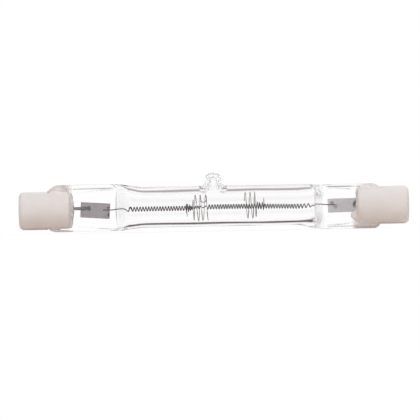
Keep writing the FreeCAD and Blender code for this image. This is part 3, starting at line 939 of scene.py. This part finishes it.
def bead_shape(side, face, settings, seal):
    """Return the lumpy bead of cement along one face of a seal, where it enters its cap."""
    plate = SIDES[side]
    inside = CAP_INNER_END + BEAD_INSIDE
    front = CAP_INNER_END + BEAD_FRONT
    rings = []
    for step in range(BEAD_STEPS + 1):
        up = mixed(-BEAD_SPAN, BEAD_SPAN, step / BEAD_STEPS)
        taper = math.sqrt(max(1.0 - (up / CAP_RADIUS) ** 2, BEAD_TAPER_LEAST))
        stray = noise.noise(Vector((up * CEMENT_LUMPS, face * 7.0 + plate * 3.0, 0.0)))
        lump = BEAD_LEAST + BEAD_LUMP * (stray + 0.5)
        reach = of_side(settings, side, "bead_reach") * taper * lump
        if (side, face) == ("right", -1):
            reach += BULGE_REACH * smooth(*BULGE_LOW, up) * smooth(*BULGE_HIGH, up)
        height = BEAD_HEIGHT * taper * lump
        outline = [(inside, BEAD_SUNK), (front - reach, BEAD_SUNK), (front - reach, BEAD_LIP)]
        outline += [(front - reach * out, height * high) for out, high in BEAD_CURVE]
        outline += [(front, height), (inside, height)]
        ring = []
        for along, off in outline:
            ring.append(Vector((plate * along, face * (seal.web_half + off), AXIS_HEIGHT + up)))
        rings.append(ring)
    return skin(rings)


def smear_shape(side, face, edge):
    """Return the smear of cement along one edge of a cap's slot, above (1) or below (-1)."""
    start, end = CAP_INNER_END + SMEAR_START[side, edge], PINCH_END + SMEAR_OVERRUN
    rings = []
    for out in spaced([start, end], [SMEAR_SPACING]):
        size = smooth(start + SMEAR_GROWTH[0], start + SMEAR_GROWTH[1], out)
        size *= smooth(end, end - SMEAR_FADE, out)
        stray = noise.noise(Vector((out * CEMENT_LUMPS, face * 5.0, edge * 9.0 + SIDES[side])))
        size *= 1.0 + SMEAR_LUMP * stray
        ring = []
        for off, up in SMEAR_PROFILE:
            off, up = mixed(SMEAR_ROOT[0], off, size), mixed(SMEAR_ROOT[1], up, size)
            ring.append(Vector((SIDES[side] * out, face * off, AXIS_HEIGHT + edge * up)))
        rings.append(ring)
    return skin(rings)


def collar_shape(side, seal):
    """Return the thin coat of cement over the end of a seal, where it stands out of the cap's slot."""
    around = circle(COAT_TURNS)
    stops = [CAP_INNER_END - COAT_REACH, PINCH_END - COAT_ROUNDING, PINCH_END]
    rings = []
    for out in spaced(stops, COAT_SPACINGS):
        ring = []
        for point in outside_ring(seal, SIDES[side] * out, around):
            lump = 1.0 + COAT_LUMP * noise.noise(point * CEMENT_LUMPS)
            off = Vector((0.0, point.y, point.z - AXIS_HEIGHT))
            ring.append(point + Vector((0.0, off.y * COAT_DEEPER, off.z * COAT_HIGHER)) * lump)
        rings.append(ring)
    return skin(rings)


class BULB_OT_cement(bpy.types.Operator):
    """Fill the caps with cement that creeps out along the seals"""

    bl_idname = "bulb.cement"
    bl_label = "Cement"

    def execute(self, context):
        settings = context.scene.bulb_ceramic
        seal = context.scene.bulb_quartz
        finish = new_finish("cap_cement", cement_finish, settings)
        coat = new_finish("thin_cement", coat_finish, settings)
        for side in SIDES:
            beads = [bead_shape(side, face, settings, seal) for face in (-1, 1)]
            beads += [smear_shape(side, face, edge) for face in (-1, 1) for edge in (-1, 1)]
            new_piece(f"{side}_cement_bead", joined(*beads), finish)
            new_piece(f"{side}_cement_coat", collar_shape(side, seal), coat)
            dress(f"{side}_cement", finish)
        return {"FINISHED"}


# Contacts

CONTACT_SIDES = 72
SHARP_CONTACT_EDGE = math.radians(40)
CONTACT_CENTRE = 0.01 * MM
CONTACT_CHAMFER = 0.03 * MM
# A contact's front inside its rim: how far back, radius
CONTACT_FACE = [
    mm(0.03, 1.72),
    mm(0.12, 1.6),
    mm(0.12, 1.42),
    mm(0.05, 1.2),
    mm(0.01, 0.7),
    (0.0, CONTACT_CENTRE),
]
CONTACT_WALL_END = 0.08 * MM
# Turning marks around the middle, in radians a metre
TURNING_MARKS = 60000.0


def nickel_finish(nodes, settings):
    """Satin nickel with turning marks and worn patches."""
    place = nodes.place()
    _, depth, up = nodes.axes(place)
    rings = nodes.maths("SINE", nodes.distance(depth, up - AXIS_HEIGHT) * TURNING_MARKS)
    worn = nodes.noise(place, scale=1500.0, detail=3.0)
    return {
        "Base Color": nodes.blend(nodes.ease(worn, 0.4, 0.75), settings.nickel, settings.worn_nickel),
        "Metallic": 1.0,
        "Roughness": 0.28 + worn * 0.2,
        "Normal": nodes.bump(rings, strength=0.08, distance=0.02 * MM),
    }


class BULB_OT_contacts(bpy.types.Operator):
    """Turn the nickel contact buttons"""

    bl_idname = "bulb.contacts"
    bl_label = "Contact Buttons"

    def execute(self, context):
        finish = new_finish("nickel_contact", nickel_finish, context.scene.bulb_wires)
        front, back = CONTACT_HIGH.x, CONTACT_LOW.x
        profile = [
            (back, CONTACT_CENTRE),
            (back, CONTACT_RADIUS),
            (front - CONTACT_WALL_END, CONTACT_RADIUS),
            (front - CONTACT_CHAMFER, CONTACT_RADIUS - CONTACT_CHAMFER),
        ]
        profile += [(front - lies_back, radius) for lies_back, radius in CONTACT_FACE]
        for side in SIDES:
            shape = turned(profile, side, CONTACT_SIDES)
            piece = new_piece(f"{side}_contact_button", shape, finish, f"{side}_contact")
            piece.data.set_sharp_from_angle(angle=SHARP_CONTACT_EDGE)
        return {"FINISHED"}


# Sealing foils and outer leads

FOIL_LEAN = {"left": -4.0, "right": 1.0}
FOIL_HALF_LENGTH = 2.95 * MM
# Each foil's half width, and its height above the CAD node's middle
FOIL_SIZE = {"left": mm(1.54, -0.09), "right": mm(1.39, 0.06)}
FOIL_GRID = (40, 20)
FOIL_HALF_THICKNESS = 0.025 * MM
FOIL_THINNING = 0.85
FOIL_WAVE = 0.03 * MM
FOIL_WAVES = 700.0
# Draws the noise out into stripes along the bulb
STRIPE_SQUEEZE = (0.12, 1.0, 1.0)
# Dark patches at the welds: along the bulb, up from the caps' line, half length, half height, strength
WELDS = [
    (*mm(-21.25, 0.42, 0.24, 0.22), 0.85),
    (*mm(-21.2, -1.0, 0.2, 0.36), 0.85),
    (*mm(-25.1, 0.35, 0.35, 0.5), 0.7),
    (*mm(23.75, 0.6, 0.42, 0.34), 0.42),
    (*mm(24.45, -0.12, 0.42, 0.42), 0.42),
    (*mm(28.4, 0.25, 0.5, 0.75), 0.7),
]
WELD_EDGE = (0.5, 1.4)
# An outer lead: share of its length, share of its full radius
LEAD_TAPER = [(0.0, 1.0), (0.9, 1.0), (0.97, 0.9), (0.99, 0.6), (1.0, 0.15)]
LEAD_SETBACK = 0.9 * MM
LEAD_SIDES = 20
LEAD_ROUGHNESS = 0.12
# Marks of drawing on a wire, and its soot
DRAWN_MARKS = 2400.0
SOOT_DARKNESS = 0.55


def foil_finish(nodes, settings):
    """Rolled foil with fine stripes along it, darker in patches where wires are welded on."""
    place = nodes.place()
    along, _, up = nodes.axes(place)
    stretched = nodes.add("ShaderNodeMapping", None, {"Vector": place, "Scale": STRIPE_SQUEEZE})
    stripes = nodes.noise(stretched, scale=9000.0, detail=2.0)
    clouds = nodes.noise(place, scale=900.0, detail=2.0)
    # Painted light: the right foil is painted paler than the left one
    tone = nodes.blend(nodes.ease(along, *LEFT_TO_RIGHT), settings.foil, settings.right_foil_painted_light)
    tone = nodes.blend(nodes.ease(clouds, 0.3, 0.7, high=0.25), tone, settings.foil_cloud)
    tone = nodes.blend(nodes.ease(stripes, 0.35, 0.75, high=0.2), tone, settings.foil_stripe)
    for centre_along, centre_up, half_along, half_up, strength in WELDS:
        off_along = (along - centre_along) / half_along
        off_up = (up - (AXIS_HEIGHT + centre_up)) / half_up
        away = off_along * off_along + off_up * off_up
        tone = nodes.blend(nodes.ease(away, *WELD_EDGE, strength, 0.0), tone, settings.dark_weld_patch)
    return {
        "Base Color": tone,
        "Metallic": 0.55,
        "Roughness": 0.42 + stripes * 0.2,
        "Normal": nodes.bump(stripes, strength=0.25, distance=0.02 * MM),
    }


def wire_finish(nodes, tone, roughness):
    """Drawn wire with patches of soot."""
    place = nodes.place()
    drawn = nodes.noise(place, DRAWN_MARKS, 3.0)
    soot = nodes.ease(nodes.noise(place, scale=420.0, detail=2.0), 0.35, 0.7)
    darker = [channel * SOOT_DARKNESS for channel in tone]
    return {
        "Base Color": nodes.blend(soot, tone, darker),
        "Metallic": 0.75,
        "Roughness": roughness + drawn * 0.2,
        "Normal": nodes.bump(drawn, strength=0.2, distance=0.02 * MM),
    }


def foil_sheet(face, half_width):
    """Return the points of one face of a foil that is thickest along its middle and a little wavy."""
    columns, rows = FOIL_GRID
    points = []
    for column in range(columns + 1):
        for row in range(rows + 1):
            along = mixed(-FOIL_HALF_LENGTH, FOIL_HALF_LENGTH, column / columns)
            up = mixed(-half_width, half_width, row / rows)
            wave = noise.noise(Vector((along * FOIL_WAVES, up * FOIL_WAVES, 4.0))) * FOIL_WAVE
            thick = FOIL_HALF_THICKNESS * (1.0 - FOIL_THINNING * (up / half_width) ** 2)
            points.append(Vector((along, wave + face * thick, up)))
    return points


def foil_shape(side):
    """Return a foil that leans a little where it is sealed in."""
    low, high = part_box(f"{side}_foil")
    half_width, rise = FOIL_SIZE[side]
    middle = (low + high) / 2 + Vector((0.0, 0.0, rise))
    turn = Matrix.Rotation(-math.radians(FOIL_LEAN[side]), 4, "Y")
    points = [middle + turn @ point for face in (-1, 1) for point in foil_sheet(face, half_width)]
    columns, rows = FOIL_GRID
    stride = rows + 1
    sheet_size = stride * (columns + 1)
    faces = []
    for column in range(columns):
        for row in range(rows):
            first = column * stride + row
            corners = (first, first + 1, first + stride + 1, first + stride)
            faces.append((corners[0], *reversed(corners[1:])))
            faces.append(tuple(sheet_size + corner for corner in corners))
    border = list(range(stride))
    border += [column * stride + rows for column in range(1, columns + 1)]
    border += [columns * stride + row for row in range(rows - 1, -1, -1)]
    border += [column * stride for column in range(columns - 1, 0, -1)]
    for corner, after in zip(border, border[1:] + border[:1]):
        faces.append((corner, after, sheet_size + after, sheet_size + corner))
    return points, faces


class BULB_OT_foils(bpy.types.Operator):
    """Roll the sealing foils, with dark patches at their welds"""

    bl_idname = "bulb.foils"
    bl_label = "Sealing Foils"

    def execute(self, context):
        finish = new_finish("molybdenum_foil", foil_finish, context.scene.bulb_wires)
        for side in SIDES:
            new_piece(f"{side}_rolled_foil", foil_shape(side), finish, f"{side}_foil")
        return {"FINISHED"}


class BULB_OT_leads(bpy.types.Operator):
    """Draw the outer leads from the contacts to their welds on the foils"""

    bl_idname = "bulb.leads"
    bl_label = "Outer Leads"

    def execute(self, context):
        settings = context.scene.bulb_wires
        finish = new_finish("molybdenum_lead", wire_finish, settings.lead, LEAD_ROUGHNESS)
        radii = [settings.lead_radius * share for _, share in LEAD_TAPER]
        for side in SIDES:
            low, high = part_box(f"{side}_outer_lead")
            middle = (low + high) / 2
            inner, outer = (high.x, low.x) if side == "left" else (low.x + LEAD_SETBACK, high.x)
            path = [Vector((mixed(outer, inner, place), middle.y, middle.z)) for place, _ in LEAD_TAPER]
            shape = swept(path, radii, LEAD_SIDES)
            new_piece(f"{side}_drawn_lead", shape, finish, f"{side}_outer_lead")
        return {"FINISHED"}


# Filament and supports

COIL_ENDS = {"left": -16.95 * MM, "right": 19.3 * MM}
COIL_MIDDLE = (COIL_ENDS["left"] + COIL_ENDS["right"]) / 2
COIL_HALF = (COIL_ENDS["right"] - COIL_ENDS["left"]) / 2
COIL_STEPS = 18
COIL_SIDES = 8
# The coil starts and ends at the bottom of a turn
COIL_START_TURN = 0.25
COIL_END_SINE = 0.97
# Where the coil steps up between its parts, and rises from each leg
LIFT_STEP = mm(-6.0, -1.4)
LIFT_RUNS = (mm(-19.0, -14.0), mm(21.0, 6.0))
# The coil: along the bulb, how much looser than at its middle, share of the full radius
COIL_SHAPE = [
    (-16.95 * MM, 1.2, 1.0),
    (-16.4 * MM, 1.1, 1.0),
    (-14.5 * MM, 1.05, 1.0),
    (-9.0 * MM, 1.0, 1.0),
    (-5.7 * MM, 1.0, 1.0),
    (-5.0 * MM, 1.0, 0.75),
    (-4.4 * MM, 0.95, 0.65),
    (-2.8 * MM, 1.0, 0.65),
    (-2.3 * MM, 2.0, 0.35),
    (-1.7 * MM, 2.2, 0.35),
    (-1.3 * MM, 1.3, 1.0),
    (-0.6 * MM, 1.0, 1.0),
    (15.5 * MM, 1.0, 1.0),
    (17.5 * MM, 1.2, 1.0),
    (19.4 * MM, 1.7, 0.9),
]
# Unevenness of the coil's pitch and of its radius: share, scale
PITCH_STRAY = (0.07, 1100.0)
RADIUS_STRAY = (0.05, 1600.0)
# The legs: along the bulb, up from the caps' line; the bend starts at the coil's end
LEG_DEPTH = -0.13 * MM
LEFT_LEG = [
    (-22.2 * MM, 0.0),
    mm(-20.6, -0.05),
    mm(-19.2, 0.1),
    mm(-18.3, 0.18),
    mm(-17.7, 0.08),
    mm(-17.3, -0.2),
]
RIGHT_BEND = [mm(0.35, 0.02), mm(0.7, 0.34), mm(1.3, 0.42)]
RIGHT_LEG = [mm(22.2, 0.28), mm(24.3, 0.2)]
LEG_START = 0.3 * MM

# Each support in millimetres: turns, place along the bulb, radius, lift of its centre
SUPPORT_ROUTES = {
    "left": [
        (0.0, -5.35, 1.5, -0.05),
        (0.2, -5.5, 0.95, 0.05),
        (1.0, -5.5, 0.88, 0.08),
        (2.0, -5.12, 0.74, 0.1),
        (3.0, -4.72, 0.56, 0.12),
        (4.0, -4.38, 0.42, 0.14),
        (4.6, -4.15, 1.7, 0.12),
        (5.0, -4.0, 2.45, 0.1),
        (5.5, -3.75, 2.6, 0.1),
        (6.0, -3.05, 2.62, 0.1),
        (6.5, -2.75, 2.6, 0.1),
        (7.0, -2.2, 2.55, 0.1),
        (7.5, -1.65, 2.6, 0.1),
        (8.0, -1.15, 2.45, 0.1),
    ],
    "right": [
        (0.0, 10.05, 1.65, 0.2),
        (0.2, 10.04, 0.95, 0.25),
        (1.0, 9.75, 0.7, 0.3),
        (2.0, 9.15, 0.66, 0.3),
        (3.0, 8.75, 0.75, 0.3),
        (3.5, 8.48, 2.3, 0.5),
        (4.0, 8.24, 2.6, 0.5),
        (4.5, 7.8, 2.6, 0.5),
        (5.0, 7.32, 2.62, 0.5),
        (5.5, 6.8, 2.6, 0.5),
        (6.0, 6.36, 2.6, 0.5),
        (6.2, 6.15, 2.5, 0.5),
    ],
}
# Angle at which each support starts: at the bottom on the left, at the top on the right
SUPPORT_START = {"left": 0.5 * math.pi, "right": -0.5 * math.pi}
SUPPORT_STEPS = 30
SUPPORT_SIDES = 10
# Bent-back end of the left support in millimetres: along the bulb, to the back, up
SUPPORT_HOOK = [
    (-1.65, -0.3, 2.68),
    (-1.5, -1.2, 2.2),
    (-1.55, -1.7, 1.5),
    (-2.0, -1.75, 1.1),
    (-2.45, -1.6, 1.3),
]
HOOK_STEPS = 8

# How far a wire's face looks out of its winding, from the painted light inside to the painted shade
# outside
TURN_OUT = (-0.4, 0.4)
# Off the coil's middle: where the loops' painted highlights lie, where wide loops begin and tight turns
# end
HIGHLIGHT_LEFT = mm(0.95, 0.6)
HIGHLIGHT_RIGHT = mm(1.0, 1.6)
HIGHLIGHT_BEHIND = mm(0.1, 0.7)
HIGHLIGHT_ABOVE = mm(0.2, 0.6)
LOOP_START = mm(1.1, 1.5)
TIGHT_TURNS = mm(1.2, 0.9)
RIGHT_HIGHLIGHT = 0.6
# Where the left support's finish goes over into the right one's
SUPPORT_CHANGE = mm(1.0, 3.0)


def winding_finish(nodes, settings, inside, outside, tight=None):
    """Tungsten: painted shade outside its windings, painted light inside, painted highlights on parts of
    its loops.
    """
    place = nodes.place()
    along, depth, up = nodes.axes(place)
    _, face_depth, face_up = nodes.axes(nodes.add("ShaderNodeNewGeometry", output="Normal"))
    lift = nodes.ease(along, *LIFT_STEP, settings.low_lift, settings.high_lift)
    for run in LIFT_RUNS:
        lift *= nodes.ease(along, *run)
    off_up = up - lift - AXIS_HEIGHT
    spread = nodes.distance(depth, off_up)
    outward = (face_depth * depth + face_up * off_up) / spread
    drawn = nodes.noise(place, DRAWN_MARKS, 3.0)
    # Painted light on faces that look into the winding, painted shade on faces that look out
    tone = nodes.blend(nodes.ease(outward, *TURN_OUT), inside, outside)
    if tight:
        # Painted shade: the supports' tight turns round the coil take the dark colour
        tone = nodes.blend(nodes.ease(spread, *TIGHT_TURNS), tone, tight)
    right = nodes.ease(along, *SUPPORT_CHANGE)
    behind = nodes.ease(depth, *HIGHLIGHT_BEHIND) * nodes.ease(off_up, *HIGHLIGHT_ABOVE)
    beside = (nodes.ease(abs(off_up), *HIGHLIGHT_LEFT) + behind) * (1.0 - right)
    painted_highlight = beside + nodes.ease(off_up, *HIGHLIGHT_RIGHT) * right * RIGHT_HIGHLIGHT
    # Painted highlight on parts of the wide loops
    tone = nodes.blend(painted_highlight * nodes.ease(spread, *LOOP_START), tone, settings.loop_painted_highlight)
    leg = nodes.ease(abs(along - COIL_MIDDLE), COIL_HALF, COIL_HALF + LEG_START)
    tone = nodes.blend(leg, tone, settings.leg)
    return {
        "Base Color": nodes.blend(nodes.ease(drawn, 0.4, 0.8, high=0.15), tone, settings.leg),
        "Metallic": 0.6,
        "Roughness": 0.4 + drawn * 0.2,
        "Normal": nodes.bump(drawn, strength=0.2, distance=0.02 * MM),
    }


def coil_middle(settings, along):
    """Return a point on the coil's centre line, which the supports lift a little."""
    lift = mixed(settings.low_lift, settings.high_lift, smooth(*LIFT_STEP, along))
    for run in LIFT_RUNS:
        lift *= smooth(*run, along)
    return Vector((along, 0.0, AXIS_HEIGHT + lift))


def filament_path(settings):
    """Return the filament's path: left leg, coil with looser ends, right leg."""
    path = [Vector((along, LEG_DEPTH, AXIS_HEIGHT + up)) for along, up in LEFT_LEG]
    along, turn = COIL_ENDS["left"], COIL_START_TURN
    while along < COIL_ENDS["right"] or math.sin(2 * math.pi * turn) < COIL_END_SINE:
        looser, wider = through(COIL_SHAPE, along)
        pitch = settings.coil_pitch * looser
        pitch *= 1.0 + PITCH_STRAY[0] * noise.noise(Vector((along * PITCH_STRAY[1], 0.0, 5.0)))
        angle = 2 * math.pi * turn
        stray = noise.noise(Vector((along * RADIUS_STRAY[1], 2.0, 0.0)))
        radius = settings.coil_radius * wider * (1.0 + RADIUS_STRAY[0] * stray)
        offset = Vector((0.0, -math.cos(angle), -math.sin(angle))) * radius
        path.append(coil_middle(settings, along) + offset)
        along += pitch / COIL_STEPS
        turn += 1.0 / COIL_STEPS
    end = path[-1].x
    leg = [(end + along, up) for along, up in RIGHT_BEND] + RIGHT_LEG
    return path + [Vector((along, LEG_DEPTH, AXIS_HEIGHT + up)) for along, up in leg]


class BULB_OT_filament(bpy.types.Operator):
    """Wind the tungsten filament, with its two straight legs"""

    bl_idname = "bulb.filament"
    bl_label = "Filament"

    def execute(self, context):
        settings = context.scene.bulb_wires
        # Painted light inside the coil's windings, painted shade outside them
        tones = (settings.coil_painted_light_inside, settings.tungsten)
        finish = new_finish("tungsten_coil", winding_finish, settings, *tones)
        shape = swept(filament_path(settings), settings.coil_wire, COIL_SIDES)
        new_piece("filament_coil", shape, finish, "filament")
        return {"FINISHED"}


def support_path(side):
    """Return a support's path: tight turns round the coil that open into wide loops."""
    route = SUPPORT_ROUTES[side]
    turns = route[-1][0]
    steps = round(turns * SUPPORT_STEPS)
    path = []
    for step in range(steps + 1):
        turn = turns * step / steps
        along, radius, lift = through(route, turn)
        angle = 2 * math.pi * turn + SUPPORT_START[side]
        depth, up = -radius * math.cos(angle), lift - radius * math.sin(angle)
        path.append(Vector((along, depth, up)) * MM + Vector((0.0, 0.0, AXIS_HEIGHT)))
    return path


def hook_path():
    """Return the smooth path of the left support's bent-back end."""
    stops = [(step, *place) for step, place in enumerate(SUPPORT_HOOK)]
    steps = HOOK_STEPS * (len(stops) - 1)
    points = [Vector(through(stops, step / HOOK_STEPS)) for step in range(steps + 1)]
    return [point * MM + Vector((0.0, 0.0, AXIS_HEIGHT)) for point in points]


class BULB_OT_supports(bpy.types.Operator):
    """Wind the wire spirals that hold the filament off the quartz"""

    bl_idname = "bulb.supports"
    bl_label = "Filament Supports"

    def execute(self, context):
        settings = context.scene.bulb_wires
        # Painted light inside the loops, painted shade outside them and on the tight turns
        tones = (settings.support_painted_light_inside, settings.support, settings.tungsten)
        finish = new_finish("support_wire", winding_finish, settings, *tones)
        for side in SIDES:
            shape = swept(support_path(side), settings.support_wire, SUPPORT_SIDES)
            if side == "left":
                shape = joined(shape, swept(hook_path(), settings.support_wire, SUPPORT_SIDES))
            new_piece(f"{side}_support_spiral", shape, finish, f"{side}_support")
        return {"FINISHED"}


# Stage

FLOOR_REACH = 4.0
# Each lamp: place, size, power and colour
LAMPS = {
    "key_light": ((-0.03, -0.36, 0.5), (0.5, 0.4), 2.3, (1.0, 0.985, 0.97)),
    "fill_light": ((0.3, 0.3, 0.45), (0.5, 0.5), 1.2, (0.97, 0.985, 1.0)),
}
# Directions of the dim zones: to the sides, up, down, and the wings
AHEAD = (0.6, 0.35)
OVER_ZONE = ((0.42, 0.74), (0.88, 0.84))
UNDER_ZONE = ((-0.4, -0.7), (-0.88, -0.84))
WING_START = (0.55, 0.8)
WING_SHARE = 0.4
# Squared distances over which the floor melts into the background, and by which shares
FLOOR_MELT = (0.0002, 0.0012)
FLOOR_SHARES = (0.8, 1.0)
FLOOR_ALONG = 0.4
SENSOR_WIDTH = 36.0
CLIP_START = 0.01


def add_softbox(name, place, size, power, tone):
    """Hang a soft lamp that the quartz and the metal don't mirror."""
    lamp = bpy.data.lights.new(name, "AREA")
    lamp.shape = "RECTANGLE"
    lamp.size, lamp.size_y = size
    lamp.energy = power
    lamp.color = tone
    box = new_object(name, lamp)
    box.location = place
    heading = Vector((0.0, 0.0, AXIS_HEIGHT)) - Vector(place)
    box.rotation_euler = heading.to_track_quat("-Z", "Y").to_euler()
    box.visible_transmission = False
    box.visible_glossy = False


def light_world(settings):
    """Light from all round: white, with dim zones above and below for the quartz to show."""
    world = bpy.data.worlds.new("studio")
    bpy.context.scene.world = world
    world.use_nodes = True
    nodes = Nodes(world.node_tree)
    aside, _, height = nodes.axes(nodes.add("ShaderNodeTexCoord", output="Generated"))
    ahead = nodes.ease(abs(aside), *AHEAD)
    over = nodes.zone(height, *OVER_ZONE) * ahead
    under = nodes.zone(height, *UNDER_ZONE) * ahead
    wing = nodes.ease(abs(aside), *WING_START, high=WING_SHARE)
    tone = nodes.blend(over, WHITE, settings.over_tone)
    tone = nodes.blend(under, tone, settings.under_tone)
    tone = nodes.blend(wing, tone, settings.over_tone)
    camera, clear, mirrored = nodes.rays()
    in_quartz = (1.0 - camera) * nodes.maths("MAXIMUM", clear, mirrored)
    shown = nodes.blend(in_quartz, WHITE, tone)
    direct = nodes.maths("MAXIMUM", camera, in_quartz)
    strength = settings.soft_level + direct * (1.0 - settings.soft_level)
    background = nodes.add("ShaderNodeBackground", None, {"Color": shown, "Strength": strength})
    nodes.add("ShaderNodeOutputWorld", None, {"Surface": background})


def floor_finish(nodes, settings):
    """Pale floor that keeps shadows near the bulb and melts into the background further off."""
    camera, clear, mirrored = nodes.rays()
    along, depth, _ = nodes.axes(nodes.place())
    away = along * along * FLOOR_ALONG + depth * depth
    far = nodes.ease(away, *FLOOR_MELT, *FLOOR_SHARES)
    tone = nodes.blend(camera, settings.floor, settings.seen_floor)
    matt = nodes.add("ShaderNodeBsdfDiffuse", None, {"Color": tone})
    white = nodes.add("ShaderNodeEmission", None, {"Color": WHITE, "Strength": 1.0})
    open_way = nodes.add("ShaderNodeBsdfTransparent")
    paler = nodes.add("ShaderNodeMixShader", None, {0: (camera + mirrored) * far, 1: matt, 2: white})
    return nodes.add("ShaderNodeMixShader", None, {0: clear, 1: paler, 2: open_way})


def lay_floor(settings):
    """Lay the floor that the bulb lies on."""
    corners = [(-1, -1), (1, -1), (1, 1), (-1, 1)]
    points = [(x * FLOOR_REACH, y * FLOOR_REACH, 0) for x, y in corners]
    mesh = new_mesh("floor", points, [(0, 1, 2, 3)])
    mesh.materials.append(new_finish("pale_floor", floor_finish, settings))
    floor = new_object("floor", mesh)


def place_camera(settings):
    """Stand the camera level with the bulb, on a long lens."""
    lens = bpy.data.cameras.new("camera")
    lens.sensor_width = SENSOR_WIDTH
    lens.lens = lens.sensor_width * settings.distance / settings.frame_width
    lens.clip_start = CLIP_START
    camera = new_object("camera", lens)
    camera.location = (settings.aim_along, -settings.distance, AXIS_HEIGHT + settings.aim_up)
    camera.rotation_euler = (math.radians(90), settings.roll, 0.0)
    bpy.context.scene.camera = camera


class BULB_OT_stage(bpy.types.Operator):
    """Set up the floor, the light and the camera"""

    bl_idname = "bulb.stage"
    bl_label = "Stage"

    def execute(self, context):
        settings = context.scene.bulb_stage
        lay_floor(settings)
        for name, details in LAMPS.items():
            add_softbox(name, *details)
        light_world(settings)
        place_camera(settings)
        context.scene.view_settings.view_transform = "Standard"
        return {"FINISHED"}


class BULB_PT_panel(bpy.types.Panel):
    """Lists the steps that dress the bulb"""

    bl_idname = "BULB_PT_panel"
    bl_label = "Halogen Bulb"
    bl_space_type = "VIEW_3D"
    bl_region_type = "UI"
    bl_category = "Bulb"

    def draw(self, context):
        for step in STEPS:
            self.layout.operator(step.bl_idname)


STEPS = (
    BULB_OT_quartz,
    BULB_OT_caps,
    BULB_OT_cement,
    BULB_OT_contacts,
    BULB_OT_foils,
    BULB_OT_leads,
    BULB_OT_filament,
    BULB_OT_supports,
    BULB_OT_stage,
)
SETTINGS = {
    "bulb_quartz": QuartzSettings,
    "bulb_ceramic": CeramicSettings,
    "bulb_wires": WireSettings,
    "bulb_stage": StageSettings,
}


def register():
    for name, group in SETTINGS.items():
        bpy.utils.register_class(group)
        setattr(bpy.types.Scene, name, PointerProperty(type=group))
    for step in STEPS:
        bpy.utils.register_class(step)
    bpy.utils.register_class(BULB_PT_panel)


def unregister():
    bpy.utils.unregister_class(BULB_PT_panel)
    for step in reversed(STEPS):
        bpy.utils.unregister_class(step)
    for name, group in SETTINGS.items():
        delattr(bpy.types.Scene, name)
        bpy.utils.unregister_class(group)


def main():
    register()
    for step in STEPS:
        family, name = step.bl_idname.split(".")
        getattr(getattr(bpy.ops, family), name)()


if __name__ == "__main__":
    main()
